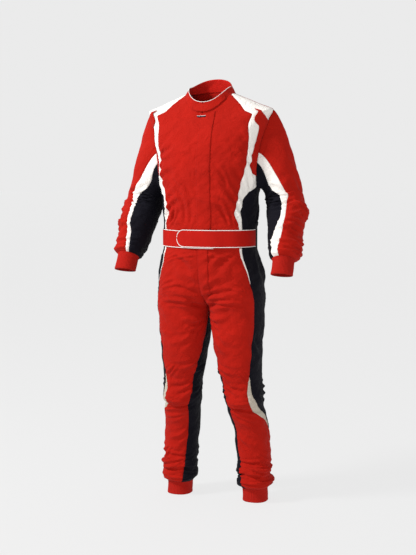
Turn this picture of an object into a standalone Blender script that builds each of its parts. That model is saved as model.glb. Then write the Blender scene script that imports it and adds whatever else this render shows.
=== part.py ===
"""A karting suit, filled out with no wearer: colour-blocked cloth, a stand collar, a belt and knit cuffs.

Metres, +Z up, the front faces -Y and the wearer's left is +X. Heights in the tables are above the ankle
hem, but for LEG_STRETCH. Round every tube an angle in degrees runs from the front (0) by the outer side (90)
to the back (180). A surface gives the cloth's outer face at (angle, level), and every piece is cut out of one
by its seams.
"""

import bpy
import numpy as np

SHOULDER_H = 1.385  # the origin, on the shoulder line, above the ankle hem
WALL = 0.002
RIB_WALL = 0.0025
SEAM_GAP = 0.0003
TWIST_GAP = 0.0004  # where a seam winds round its tube, and the edges twist
LIFT = 0.0007  # an overlaid piece lies this far off the cloth under it
EDGE_SHIFT = 0.0008  # the sleeve starts this far from the armhole's edge
LEAST_SLANT = 0.25  # a seam that runs nearly along its ring is moved by no more than this allows
PROBE_ANGLE, PROBE_LEVEL = 0.5, 0.001  # steps that measure a surface's directions

WAIST_H = 0.934
ARMPIT_V = 1.100
TIP_V = 1.335
NECK_V = 1.363
ARM_TOP_H = 1.090  # the first full ring of the sleeve
CAP_SPAN = 0.100  # levels above it that stand for the sleeve's cap
WRIST_H = 0.862
CUFF_END_H = 0.812
CROTCH_H = 0.690
CUFF_SIDES = 18
ANKLE_H = 0.047

RED = (0.560, 0.022, 0.016)
DARK_RED = (0.420, 0.016, 0.013)
WHITE = (0.800, 0.780, 0.750)
CREAM = (0.600, 0.520, 0.420)
NAVY = (0.012, 0.012, 0.020)


def sind(angle):
    return np.sin(np.radians(angle))


def cosd(angle):
    return np.cos(np.radians(angle))


def smooth(x, xs, ys):
    """A cubic through the points (xs, ys) that never overshoots them, and stays level past the ends."""
    order = np.argsort(xs)
    xs, ys = np.asarray(xs, float)[order], np.asarray(ys, float)[order]
    step = np.diff(xs)
    slope = np.diff(ys) / step
    same = slope[:-1] * slope[1:] > 0
    total = np.where(same, slope[:-1] + slope[1:], 1.0)
    middle = np.where(same, 2 * slope[:-1] * slope[1:] / total, 0.0)
    tangent = np.concatenate([slope[:1], middle, slope[-1:]])
    x = np.clip(x, xs[0], xs[-1])
    i = np.clip(np.searchsorted(xs, x, side="right") - 1, 0, len(step) - 1)
    t = (x - xs[i]) / step[i]
    rise = t * t * (3 - 2 * t)
    bend = tangent[i] * t * (1 - t) ** 2 - tangent[i + 1] * t * t * (1 - t)
    return ys[i] + (ys[i + 1] - ys[i]) * rise + step[i] * bend


class Table:
    """Rows of named columns. read(name, x) is one column at x, a value of the first column."""

    def __init__(self, columns, *rows):
        self.names = columns.split()
        self.rows = np.array(rows)

    def read(self, name, x):
        return smooth(x, self.rows[:, 0], self.rows[:, self.names.index(name)])


TORSO_POWER = 2.3
TORSO = Table(
    "front_h side_h back_h half_w front_d back_d",
    (0.934, 0.934, 0.934, 0.168, 0.120, 0.115),
    (1.000, 1.000, 1.000, 0.168, 0.121, 0.118),
    (1.060, 1.060, 1.060, 0.171, 0.125, 0.122),
    (1.100, 1.110, 1.110, 0.178, 0.128, 0.125),
    (1.160, 1.175, 1.180, 0.186, 0.130, 0.125),
    (1.220, 1.240, 1.260, 0.195, 0.126, 0.120),
    (1.270, 1.300, 1.330, 0.207, 0.115, 0.110),
    (1.310, 1.348, 1.380, 0.219, 0.100, 0.096),
    (1.335, 1.375, 1.410, 0.228, 0.089, 0.086),
    (1.341, 1.392, 1.418, 0.186, 0.085, 0.082),
    (1.349, 1.409, 1.426, 0.145, 0.081, 0.079),
    (1.357, 1.423, 1.434, 0.110, 0.079, 0.076),
    (1.363, 1.432, 1.440, 0.088, 0.079, 0.075),
)
TORSO_SEAMS = Table(
    "front_h front_band band_side",
    (0.934, 54.0, 58.0),
    (0.975, 51.0, 57.0),
    (1.020, 44.0, 54.0),
    (1.065, 48.0, 58.0),
    (1.085, 49.5, 68.0),
    (1.100, 51.0, 84.0),
    (1.150, 54.0, 84.0),
    (1.190, 57.0, 84.0),
    (1.230, 56.0, 84.0),
    (1.265, 52.5, 84.0),
    (1.310, 47.5, 84.0),
    (1.337, 48.0, 84.0),
    (1.350, 60.0, 84.0),
    (1.363, 76.0, 84.0),
)
ARMHOLE = Table(
    "q half_angle",
    (0.00, 6.0),
    (0.12, 11.0),
    (0.30, 15.0),
    (0.55, 16.0),
    (0.80, 11.0),
    (0.92, 6.0),
    (1.00, 0.0),
)
ARMHOLE_LEAN = 7.0  # the armhole's middle runs back by this angle as it rises
ARMHOLE_Q = (0.0, 0.12, 0.26, 0.40, 0.54, 0.68, 0.81, 0.92, 1.0)
ARMHOLE_TURN = 160.0  # the sleeve's angle from the armhole's top to its lowest corner
STRIP = Table(
    "q inner outer rise",  # degrees before the armhole's front edge, and further off the yoke band
    (0.150, 2.5, 1.2, 0.0),
    (0.200, 12.0, 1.2, 0.0),
    (0.300, 13.3, 1.2, 0.0),
    (0.450, 12.3, 1.2, 0.0),
    (0.600, 12.0, 1.2, 0.0),
    (0.720, 14.0, 1.2, 0.0),
    (0.800, 19.0, 1.2, 0.0004),
    (0.840, 26.0, 1.2, 0.0008),
    (0.870, 31.0, 7.0, 0.0010),
    (0.900, 35.0, 14.0, 0.0012),
    (0.930, 38.0, 20.0, 0.0014),
    (0.960, 40.5, 27.0, 0.0018),
    (0.985, 41.5, 33.0, 0.0026),
    (1.015, 38.5, 37.4, 0.0026),
)
STRIP_ROWS = 30

CAP_DROP, CAP_DROP_MORE = 20.0, 15.0  # how steeply the sleeve leaves the armhole, and more at the outer side
CAP = Table("outer first second", (0.0, 0.020, 0.016), (0.5, 0.030, 0.060), (1.0, 0.036, 0.120))
ARM = Table(
    "centre_h x y radius",
    (1.200, 0.240, 0.040, 0.066),
    (1.090, 0.257, 0.040, 0.066),
    (1.045, 0.267, 0.031, 0.067),
    (1.000, 0.275, 0.010, 0.065),
    (0.950, 0.283, -0.016, 0.062),
    (0.900, 0.287, -0.043, 0.056),
    (0.878, 0.289, -0.055, 0.052),
    (0.870, 0.290, -0.059, 0.050),
    (0.862, 0.290, -0.063, 0.040),
    (0.855, 0.291, -0.067, 0.037),
    (0.812, 0.292, -0.089, 0.037),
)
SLEEVE_SEAMS = Table(
    "height red_white white_navy",
    (1.270, 0.0, -5.0),
    (1.220, 5.0, -13.0),
    (1.170, 7.0, -21.0),
    (1.130, 13.0, -26.0),
    (1.105, 19.0, -19.0),
    (1.080, 27.0, 0.0),
    (1.060, 19.0, 2.0),
    (1.020, 14.0, 0.0),
    (0.975, 6.0, -10.0),
    (0.950, 2.0, -21.0),
    (0.900, -8.0, -30.0),
    (0.860, -10.0, -34.0),
)
SLEEVE_BACK_SEAM = 200.0
SLEEVE_ROWS = (1.190, 1.178, 1.160, 1.140, 1.118, 1.090, 1.075, 1.060, 1.045, 1.025, 0.995, 0.965, 0.940,
               0.918, 0.897, 0.880, 0.870, 0.862)

LEG_POWER = 2.3
LEG = Table(
    "height x y half_w front_d back_d",
    (0.934, 0.0000, 0.000, 0.1680, 0.120, 0.115),
    (0.897, 0.0000, 0.000, 0.1680, 0.120, 0.116),
    (0.870, 0.0040, 0.000, 0.1690, 0.120, 0.123),
    (0.820, 0.0290, 0.003, 0.1550, 0.120, 0.128),
    (0.770, 0.0565, 0.005, 0.1335, 0.116, 0.125),
    (0.730, 0.0795, 0.006, 0.1145, 0.110, 0.118),
    (0.700, 0.0935, 0.008, 0.1005, 0.104, 0.108),
    (0.690, 0.0970, 0.008, 0.0968, 0.102, 0.106),
    (0.660, 0.0990, 0.009, 0.0945, 0.099, 0.102),
    (0.600, 0.1005, 0.011, 0.0890, 0.094, 0.096),
    (0.545, 0.1015, 0.012, 0.0840, 0.088, 0.090),
    (0.444, 0.1110, 0.022, 0.0700, 0.076, 0.078),
    (0.390, 0.1160, 0.027, 0.0670, 0.072, 0.074),
    (0.342, 0.1215, 0.033, 0.0660, 0.072, 0.070),
    (0.300, 0.1270, 0.050, 0.0640, 0.066, 0.068),
    (0.240, 0.1350, 0.068, 0.0620, 0.064, 0.066),
    (0.137, 0.1420, 0.070, 0.0595, 0.062, 0.062),
    (0.090, 0.1440, 0.070, 0.0610, 0.064, 0.064),
    (0.060, 0.1446, 0.070, 0.0610, 0.063, 0.063),
    (0.047, 0.1455, 0.070, 0.0470, 0.048, 0.048),
    (0.040, 0.1460, 0.070, 0.0440, 0.045, 0.045),
    (0.000, 0.1475, 0.070, 0.0440, 0.045, 0.045),
)
LEG_STRETCH = 0.022  # below the crotch each ring stands lower than its height, in proportion, by up to it
LEG_SEAMS = Table(
    "height front_edge back_edge inner",
    (0.934, 58.0, 58.0, -90.0),
    (0.870, 55.0, 55.0, -90.0),
    (0.780, 58.0, 58.0, -90.0),
    (0.690, 60.0, 60.0, -88.0),
    (0.545, 54.0, 54.0, -72.0),
    (0.480, 46.0, 46.0, -58.0),
    (0.455, 41.5, 43.0, -56.0),
    (0.420, 35.0, 44.5, -52.0),
    (0.393, 30.0, 46.0, -50.0),
    (0.372, 30.0, 52.0, -46.0),
    (0.353, 34.0, 63.0, -44.0),
    (0.335, 42.0, 77.0, -42.0),
    (0.315, 58.0, 90.0, -40.0),
    (0.285, 92.0, 104.0, -40.0),
    (0.260, 110.0, 111.5, -40.0),
    (0.235, 117.0, 117.0, -40.0),
    (0.140, 125.0, 125.0, -36.0),
    (0.047, 125.0, 125.0, -24.0),
)
KNEE_TOP_H, KNEE_FOOT_H = 0.455, 0.260
LEG_ROWS = (0.93385, 0.899, 0.868, 0.835, 0.795, 0.760, 0.732, 0.710, 0.697, 0.690, 0.665, 0.615, 0.560,
            0.505, 0.455, 0.420, 0.393, 0.372, 0.353, 0.335, 0.315, 0.300, 0.285, 0.260, 0.235, 0.185,
            0.150, 0.130, 0.112, 0.094, 0.076, 0.061, 0.047)
FOLDS = Table(
    "height depth spread facing reach",
    (0.366, 0.004, 0.016, 0.0, 150.0),
    (0.336, -0.008, 0.012, 10.0, 150.0),
    (0.300, 0.003, 0.018, 180.0, 90.0),
    (0.132, -0.003, 0.009, 60.0, 150.0),
    (0.114, 0.004, 0.009, 0.0, 170.0),
    (0.095, -0.005, 0.008, 200.0, 170.0),
    (0.077, 0.006, 0.010, 90.0, 180.0),
)
SLEEVE_FOLDS = Table(
    "height depth spread facing reach",
    (1.075, 0.003, 0.016, 40.0, 100.0),
    (1.045, -0.005, 0.014, 0.0, 110.0),
    (1.010, 0.003, 0.016, 120.0, 120.0),
    (0.925, -0.003, 0.011, 30.0, 150.0),
    (0.900, 0.003, 0.010, 200.0, 170.0),
    (0.874, 0.003, 0.008, 90.0, 180.0),
)

COLLAR = Table(
    "rise front_h side_h back_h half_w front_d back_d",
    (0.0, 1.363, 1.432, 1.440, 0.0880, 0.079, 0.075),
    (0.5, 1.381, 1.446, 1.463, 0.0815, 0.076, 0.072),
    (1.0, 1.400, 1.460, 1.487, 0.0745, 0.074, 0.066),
)
COLLAR_SPLIT = 0.8  # degrees either side of the front, under the tab
TAB_ANGLES = (-26.0, 55.0)
TAB_RISE = (0.10, 0.86)
PLACKET = Table(
    "height right left",
    (0.732, -0.002, 0.036),
    (0.900, -0.002, 0.036),
    (0.990, -0.004, 0.046),
    (1.358, -0.004, 0.046),
)
PLACKET_LIFT = 0.0014
UNDER_STRAP = Table("angle low high", (-88.0, 0.902, 0.960), (-20.0, 0.900, 0.957), (17.0, 0.899, 0.953))
OVER_STRAP = Table("angle low high", (-25.0, 0.903, 0.961), (17.0, 0.903, 0.961), (88.0, 0.903, 0.961))
STRAP_STEP = 5.0
STRAP_ROUND = 10.0  # the over-strap's end is a half round over this angle
STRAP_RISE = PLACKET_LIFT + WALL
BELT_HALF_W, BELT_FRONT_D, BELT_BACK_D = 0.168, 0.121, 0.118
BELT_UP, BELT_DOWN = (-13.0, -5.0), (17.0, 29.0)  # where it rises on to the placket, and comes down again
BELT_MEETS = (19.0, 34.0)  # where the over-strap comes down beside the under-strap's end
STRAP_END_TURNS = (12.0, 32.0, 55.0, 78.0)
STRAP_STANDS_OFF = 0.0026  # how much further out it lies where the under-strap is beneath it


def superellipse(angle, half_w, front_d, back_d, power):
    """The ring's x and y at each angle."""
    side, ahead = sind(angle), cosd(angle)
    depth = np.where(ahead > 0, front_d, back_d)
    x = half_w * np.sign(side) * np.abs(side) ** (2 / power)
    return x, -depth * np.sign(ahead) * np.abs(ahead) ** (2 / power)


def angle_at(x, half_w, power):
    """The front angle at which a ring passes x."""
    return np.degrees(np.arcsin(np.clip(x / half_w, -1, 1) ** (power / 2)))


def unit(vectors):
    return vectors / np.linalg.norm(vectors, axis=-1, keepdims=True)


def fold_depth(table, angle, height):
    """How far folds push the cloth out: each is a ridge or trough across the tube, deepest where it faces."""
    out = 0.0
    for at, depth, spread, facing, reach in table.rows:
        turn = np.abs((angle - facing + 180) % 360 - 180)
        share = np.where(turn < reach, 0.5 + 0.5 * cosd(180 * turn / reach), 0.0)
        out = out + depth * share * np.exp(-(((height - at) / spread) ** 2))
    return out


def tilted_ring(table, angle, level):
    """A torso-like ring whose front, side and back stand at their own heights."""
    front, back = table.read("front_h", level), table.read("back_h", level)
    middle = table.read("side_h", level)
    edge = np.where(cosd(angle) > 0, front, back)
    height = edge + (middle - edge) * sind(angle) ** 2
    half_w, front_d = table.read("half_w", level), table.read("front_d", level)
    x, y = superellipse(angle, half_w, front_d, table.read("back_d", level), TORSO_POWER)
    return np.stack([x, y, height + 0 * x], axis=-1)


def torso(angle, level):
    return tilted_ring(TORSO, angle, level)


def collar(angle, level):
    return tilted_ring(COLLAR, angle, level)


def leg(angle, level):
    """The left leg's outer face, from the waist to the ankle cuff's hem."""
    swell = fold_depth(FOLDS, angle, level)
    front_d, back_d = LEG.read("front_d", level) + swell, LEG.read("back_d", level) + swell
    x, y = superellipse(angle, LEG.read("half_w", level) + swell, front_d, back_d, LEG_POWER)
    height = level - LEG_STRETCH * np.maximum(0, CROTCH_H - level) / CROTCH_H + 0 * x
    return np.stack([x + LEG.read("x", level), y + LEG.read("y", level), height], axis=-1)


def inward(surface, angle, level):
    """Unit directions from the outer face into the cloth."""
    around = surface(angle + PROBE_ANGLE, level) - surface(angle - PROBE_ANGLE, level)
    up = surface(angle, level + PROBE_LEVEL) - surface(angle, level - PROBE_LEVEL)
    return unit(np.cross(up, around))


def armhole_level(q):
    return ARMPIT_V + (TIP_V - ARMPIT_V) * np.asarray(q)


def armhole_angles(q):
    """The torso angles of the armhole's front and back edges."""
    middle, half = 90 + ARMHOLE_LEAN * np.asarray(q), ARMHOLE.read("half_angle", q)
    return middle - half, middle + half


def armhole_corners():
    """The armhole's corners: the sleeve angle, then the torso's angle and level, from armpit to armpit."""
    q = np.array(ARMHOLE_Q)
    front, back = armhole_angles(q)
    rise = ARMHOLE_TURN * (1 - q)
    level = armhole_level(q)
    turn = np.concatenate([[-90], 90 - rise, 90 + rise[-2::-1], [270]])
    angles = np.concatenate([[90], front, back[-2::-1], [90]])
    levels = np.concatenate([[ARMPIT_V], level, level[-2::-1], [ARMPIT_V]])
    return turn, angles, levels


CORNER_TURN, CORNER_ANGLE, CORNER_LEVEL = armhole_corners()
CORNER_POINTS = torso(CORNER_ANGLE, CORNER_LEVEL)


def on_corners(values, turn):
    """Straight from corner to corner of the armhole, as the torso's own edge is."""
    turn = np.mod(turn + 90, 360) - 90
    return np.stack([np.interp(turn, CORNER_TURN, values[:, k]) for k in range(3)], axis=-1)


def arm_frame(level):
    """The arm's centre, its direction up, and its outer and front directions."""
    centre = np.stack([ARM.read("x", level), ARM.read("y", level), level + 0 * level], axis=-1)
    above = np.stack([ARM.read("x", level + 0.01), ARM.read("y", level + 0.01), level + 0.01], axis=-1)
    below = np.stack([ARM.read("x", level - 0.01), ARM.read("y", level - 0.01), level - 0.01], axis=-1)
    up = unit(above - below)
    outer = unit(np.cross(up, np.cross([1.0, 0.0, 0.0], up)))
    return centre, up, outer, np.cross(outer, up)


def arm(angle, level):
    """A full ring of the sleeve, square to the arm."""
    centre, _, outer, ahead = arm_frame(level)
    radius = ARM.read("radius", level) + fold_depth(SLEEVE_FOLDS, angle, level)
    return centre + radius[..., None] * (ahead * cosd(angle)[..., None] + outer * sind(angle)[..., None])


def sleeve(angle, level):
    """The left sleeve's outer face: a cap from the armhole to the first full ring, then the arm."""
    angle, level = np.broadcast_arrays(np.asarray(angle, float), np.asarray(level, float))
    start = np.full_like(level, ARM_TOP_H)
    _, up, _, _ = arm_frame(start)
    outer = 0.5 + 0.5 * sind(angle)
    drop = CAP_DROP + CAP_DROP_MORE * outer
    leave = np.stack([cosd(drop), 0 * drop, -sind(drop)], axis=-1)
    p0 = on_corners(CORNER_POINTS, angle) + EDGE_SHIFT * leave
    p3 = arm(angle, start)
    p1 = p0 + CAP.read("first", outer)[..., None] * leave
    p2 = p3 + CAP.read("second", outer)[..., None] * up
    t = np.clip((ARM_TOP_H + CAP_SPAN - level) / CAP_SPAN, 0, 1)[..., None]
    cap = (1 - t) ** 3 * p0 + 3 * t * (1 - t) ** 2 * p1 + 3 * t * t * (1 - t) * p2 + t**3 * p3
    return np.where((level > ARM_TOP_H)[..., None], cap, arm(angle, np.minimum(level, ARM_TOP_H)))


def material(name, color):
    """Cloth of one colour, made once."""
    if name in bpy.data.materials:
        return bpy.data.materials[name]
    made = bpy.data.materials.new(name)
    made.use_nodes = True
    shader = made.node_tree.nodes["Principled BSDF"]
    shader.inputs["Base Color"].default_value = (*color, 1.0)
    shader.inputs["Roughness"].default_value = 0.8
    shader.inputs["Metallic"].default_value = 0.0
    return made


def grid_faces(rows, columns, first):
    """The triangles between the points of a grid, numbered from first."""
    at = first + np.arange(rows * columns).reshape(rows, columns)
    near, far = at[:-1], at[1:]
    lower = np.stack([near[:, :-1], near[:, 1:], far[:, 1:]], axis=-1).reshape(-1, 3)
    upper = np.stack([near[:, :-1], far[:, 1:], far[:, :-1]], axis=-1).reshape(-1, 3)
    return np.concatenate([lower, upper])


def wall_faces(rows, columns):
    """The faces of a wall whose outer grid comes first and its inner grid next."""
    count = rows * columns
    at = np.arange(count).reshape(rows, columns)
    rim = np.concatenate([at[0, :-1], at[:-1, -1], at[-1, :0:-1], at[:0:-1, 0]])
    after = np.roll(rim, -1)
    below = np.stack([after, rim, rim + count], axis=-1)
    edge = np.concatenate([below, np.stack([after, rim + count, after + count], axis=-1)])
    inner = grid_faces(rows, columns, count)[:, ::-1]
    return np.concatenate([grid_faces(rows, columns, 0), inner, edge])


def piece(name, outer, into, look, wall=WALL):
    """A cloth piece as a closed wall: its outer grid of points, and the directions into it."""
    points = np.concatenate([outer.reshape(-1, 3), (outer + wall * into).reshape(-1, 3)])
    add_object(name, points, wall_faces(*outer.shape[:2]), look)


def add_object(name, points, faces, look):
    """One named solid. Its faces are turned round where they point inwards."""
    corners = points[faces]
    if (np.cross(corners[:, 0], corners[:, 1]) * corners[:, 2]).sum() < 0:
        faces = faces[:, ::-1]
    mesh = bpy.data.meshes.new(name)
    mesh.from_pydata((points - (0, 0, SHOULDER_H)).tolist(), [], faces.tolist())
    mesh.materials.append(look)
    mesh.shade_smooth()
    bpy.context.scene.collection.objects.link(bpy.data.objects.new(name, mesh))


def both_sides(name, outer, into, look, wall=WALL):
    """A piece for the wearer's left, and its mirror for the right."""
    flip = np.array([-1.0, 1.0, 1.0])
    piece(name + "_left", outer, into, look, wall)
    piece(name + "_right", outer * flip, into * flip, look, wall)


def level_edge(into, row):
    """Turns the wall level along a row, so that its end face is flat."""
    into[row, :, 2] = 0
    into[row] = unit(into[row])


def shift(surface, angle, level, distance):
    """A seam's angles, row by row, moved along their rings until it has moved sideways by a distance."""
    around = (surface(angle + PROBE_ANGLE, level) - surface(angle - PROBE_ANGLE, level)) / (2 * PROBE_ANGLE)
    speed = np.linalg.norm(around, axis=-1)
    line = surface(angle, level)
    ahead, behind = unit(np.diff(line, axis=0)), around[:-1] / speed[:-1, None]
    slant = np.sqrt(1 - np.clip((ahead * behind).sum(-1) ** 2, 0, 1 - LEAST_SLANT**2))
    steepest = np.minimum(np.append(slant, 1.0), np.insert(slant, 0, 1.0))
    return angle + distance / (speed * steepest)


def between(low, high, shares):
    """Angles that share out each row's width."""
    return low[:, None] + (high - low)[:, None] * np.asarray(shares)[None, :]


def even(count):
    return np.linspace(0, 1, count + 1)


TORSO_LOWER = np.array([WAIST_H + SEAM_GAP / 2, 0.960, 0.990, 1.020, 1.048, 1.072, 1.087, 1.094])
TORSO_UPPER = np.array([1.338, 1.341, 1.346, 1.352, 1.358, NECK_V])
TORSO_ROWS = np.concatenate([TORSO_LOWER, armhole_level(ARMHOLE_Q), TORSO_UPPER])
ARMHOLE_FIRST, ARMHOLE_LAST = len(TORSO_LOWER), len(TORSO_LOWER) + len(ARMHOLE_Q) - 1
YOKE_SEAM = 90 + ARMHOLE_LEAN


def side_edges(rows):
    """The torso's side openings, row by row: where the front half ends and the back half starts."""
    q = (rows - ARMPIT_V) / (TIP_V - ARMPIT_V)
    front, back = armhole_angles(np.clip(q, 0, 1))
    seam = TORSO_SEAMS.read("band_side", rows)
    lower = rows < ARMPIT_V - 1e-9
    upper = rows > TIP_V - 1e-9
    front = np.where(lower, seam, np.where(upper, YOKE_SEAM, front))
    back = np.where(lower, 180 - seam, np.where(upper, YOKE_SEAM, back))
    seamed = lower | upper
    half = np.where(seamed, SEAM_GAP / 2, 0.0)
    return shift(torso, front, rows, -half), shift(torso, back, rows, half)


def mitre_armhole(into, rows, column, turn):
    """Along the armhole both walls end on one face, so their inner points leave in a shared direction."""
    for row in range(ARMHOLE_FIRST, ARMHOLE_LAST + 1):
        into[row, column] = SHARED[int(np.argmin(np.abs(CORNER_TURN - turn[row - ARMHOLE_FIRST])))]


def shared_directions():
    """The bisectors of the torso's and the sleeve's inward directions at the armhole's corners."""
    own = inward(torso, CORNER_ANGLE, CORNER_LEVEL)
    near = np.full_like(CORNER_TURN, ARM_TOP_H + 0.97 * CAP_SPAN)
    return unit(own + inward(sleeve, CORNER_TURN, near))


SHARED = shared_directions()


def mitre_neck(into, angles):
    """The neck edge shares its end face with the collar."""
    into[-1] = unit(into[-1] + inward(collar, angles[-1], np.zeros(angles.shape[1])))


def torso_piece(angles, rows, turn=None, edge=-1):
    """The points and directions of a torso piece, its armhole, waist and neck edges turned to suit."""
    levels = np.broadcast_to(rows[:, None], angles.shape)
    outer, into = torso(angles, levels), inward(torso, angles, levels)
    level_edge(into, 0)
    mitre_neck(into, angles)
    if turn is not None:
        for column, turns in zip(np.atleast_1d(edge), np.atleast_2d(turn)):
            mitre_armhole(into, rows, column, turns)
    return outer, into


def build_torso():
    """Two fronts, two yoke bands, two side panels and the back."""
    rows = TORSO_ROWS
    red, white = material("cloth_red", RED), material("cloth_white", WHITE)
    navy = material("cloth_navy", NAVY)
    seam = TORSO_SEAMS.read("front_band", rows)
    half_w = TORSO.read("half_w", rows)
    middle = np.degrees(SEAM_GAP / 2 / half_w)
    split = shift(torso, seam, rows, -SEAM_GAP / 2)
    neck = []
    for name, flip, edge in (("front_left", 1, "left"), ("front_right", -1, "right")):
        inner = angle_at(np.abs(PLACKET.read(edge, rows)), half_w, TORSO_POWER)
        first = np.stack([middle, inner], axis=1) if flip < 0 else between(middle, inner, even(2))
        angles = np.concatenate([first[:, :-1], between(inner, split, even(5))], axis=1)
        outer, into = torso_piece(angles, rows)
        across = outer.copy()
        across[:, 0, 0] = SEAM_GAP / 2
        piece(name, across * (flip, 1, 1), into * (flip, 1, 1), red)
        neck.append(flip * angles[-1, 1:] % 360)
    front_edge, back_edge = side_edges(rows)
    rise = ARMHOLE_TURN * (1 - np.array(ARMHOLE_Q))
    band = between(shift(torso, seam, rows, SEAM_GAP / 2), front_edge, even(4))
    both_sides("yoke_band", *torso_piece(band, rows, 90 - rise), white)
    low = rows[: ARMHOLE_FIRST + 1]
    seam_low = TORSO_SEAMS.read("band_side", low)
    start, end = shift(torso, seam_low, low, SEAM_GAP / 2), shift(torso, 180 - seam_low, low, -SEAM_GAP / 2)
    start[-1], end[-1] = CORNER_ANGLE[1], CORNER_ANGLE[-2]
    side = between(start, end, even(6))
    levels = np.broadcast_to(low[:, None], side.shape)
    outer, into = torso(side, levels), inward(torso, side, levels)
    level_edge(into, 0)
    turns = np.interp(side[-1], [CORNER_ANGLE[1], 90, CORNER_ANGLE[-2]], [0, 1, 2])
    ends = np.stack([SHARED[1], SHARED[0], SHARED[-2]])
    into[-1] = unit(np.stack([np.interp(turns, [0, 1, 2], ends[:, k]) for k in range(3)], axis=-1))
    both_sides("side", outer, into, navy)
    back = between(back_edge, 360 - back_edge, even(16))
    outer, into = torso_piece(back, rows, 90 + rise, 0)
    into[:, -1] = into[:, 0] * (-1, 1, 1)
    piece("back", outer, into, red)
    return np.concatenate([*neck, band[-1, 1:], 360 - band[-1, 1:], back[-1, 1:-1]])


def build_strips():
    """The pointed red strip beside each armhole, laid on the yoke band."""
    q = np.linspace(STRIP.rows[0, 0], STRIP.rows[-1, 0], STRIP_ROWS)
    levels = armhole_level(q)
    edge = armhole_angles(np.minimum(q, 1))[0]
    angles = between(edge - STRIP.read("inner", q), edge - STRIP.read("outer", q), even(3))
    levels = np.broadcast_to(levels[:, None], angles.shape)
    into = inward(torso, angles, levels)
    off = (LIFT + WALL + STRIP.read("rise", q))[:, None, None]
    both_sides("strip", torso(angles, levels) - off * into, into, material("cloth_red", RED))


def build_collar(neck_angles):
    """A stand collar on the neck edge, open at the front, with a tab across it."""
    around = np.sort(np.concatenate([[COLLAR_SPLIT, 360 - COLLAR_SPLIT], neck_angles]))
    around = around[np.insert(np.diff(around) > 0.6, 0, True)]
    rise = np.array([0.0, 0.35, 0.7, 1.0])
    angles = np.broadcast_to(around, (4, len(around)))
    levels = np.broadcast_to(rise[:, None], angles.shape)
    outer, into = collar(angles, levels), inward(collar, angles, levels)
    into[0] = unit(into[0] + inward(torso, around, np.full(len(around), NECK_V)))
    lift = unit(collar(angles[:1], levels[:1] + 0.02) - collar(angles[:1], levels[:1]))
    outer[0] += EDGE_SHIFT * lift[0]
    red = material("cloth_red", RED)
    piece("collar", outer, into, red)
    angles = np.broadcast_to(np.linspace(*TAB_ANGLES, 15), (4, 15))
    levels = np.broadcast_to(np.linspace(*TAB_RISE, 4)[:, None], angles.shape)
    into = inward(collar, angles, levels)
    piece("collar_tab", collar(angles, levels) - (LIFT + WALL) * into, into, red)


def build_placket():
    """One placket over the closed front edges, from the neck under the belt to the crotch."""
    low, high = PLACKET.rows[0, 0], PLACKET.rows[-1, 0]
    below = np.array([h for h in LEG_ROWS[1:] if h > low - 1e-9][::-1])
    above = np.append(TORSO_ROWS[TORSO_ROWS < high - 0.001], high)
    parts = [on_front(leg, below, LEG.read("half_w", below), LEG.read("x", below)),
             on_front(torso, above, TORSO.read("half_w", above), 0 * above)]
    outer, into = (np.concatenate(grids) for grids in zip(*parts))
    piece("placket", outer - (PLACKET_LIFT + WALL) * into, into, material("cloth_red", RED))


def on_front(surface, rows, half_w, centre):
    """Points and directions across the placket. Right of the middle they follow the left half's form."""
    x = between(PLACKET.read("right", rows), PLACKET.read("left", rows), even(4))
    share = (np.abs(x) - centre[:, None]) / half_w[:, None]
    angles = np.degrees(np.arcsin(signed_power(share)))
    levels = np.broadcast_to(rows[:, None], angles.shape)
    outer, into = surface(angles, levels), inward(surface, angles, levels)
    outer[..., 0] = x
    into[..., 0] = np.where(x < 0.005, 0, into[..., 0])
    return outer, unit(into)


def signed_power(share):
    return np.sign(share) * np.abs(share) ** (TORSO_POWER / 2)


def belt_surface(angle, height):
    """The waist's ring, upright."""
    x, y = superellipse(angle, BELT_HALF_W, BELT_FRONT_D, BELT_BACK_D, TORSO_POWER)
    return np.stack([x, y, height + 0 * x], axis=-1)


def build_belt():
    """An under-strap from the right side and an over-strap from the left, with a round end."""
    red = material("belt_red", DARK_RED)
    angles = np.arange(-88.0, 17.1, STRAP_STEP)
    strap("belt_right", angles, UNDER_STRAP, np.ones_like(angles), over_placket(angles), red)
    turn = np.array(STRAP_END_TURNS)
    ends = OVER_STRAP.rows[0, 0] + STRAP_ROUND * (1 - cosd(turn))
    angles = np.concatenate([ends, np.arange(ends[-1] + 3, 88.1, STRAP_STEP)])
    share = np.concatenate([sind(turn), np.ones(len(angles) - len(turn))])
    apart = 1 - smooth(angles, BELT_MEETS, [0.0, 1.0])
    strap("belt_left", angles, OVER_STRAP, share, apart * STRAP_STANDS_OFF + over_placket(angles), red)


def over_placket(angles):
    """How far the belt rises to pass over the placket."""
    return STRAP_RISE * (smooth(angles, BELT_UP, [0.0, 1.0]) - smooth(angles, BELT_DOWN, [0.0, 1.0]))


def strap(name, angles, table, share, apart, look):
    """One strap: its edges from a table, its height narrowed by share, standing off the waist by apart."""
    low, high = table.read("low", angles), table.read("high", angles)
    middle, half = (low + high) / 2, (high - low) / 2 * share
    heights = middle[None, :] + np.linspace(-1, 1, 4)[:, None] * half[None, :]
    spread = np.broadcast_to(angles, heights.shape)
    into = inward(belt_surface, spread, heights)
    off = (LIFT + WALL + apart)[None, :, None]
    piece(name, belt_surface(spread, heights) - off * into, into, look)


def sleeve_seams(rows):
    """The sleeve's three seams, row by row, read at the seam's own height on the cloth."""
    seams = []
    for name in ("red_white", "white_navy"):
        angle = np.zeros_like(rows)
        for _ in range(6):
            angle = SLEEVE_SEAMS.read(name, sleeve(angle, rows)[:, 2])
        seams.append(angle)
    return [*seams, np.full_like(rows, SLEEVE_BACK_SEAM)]


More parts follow.
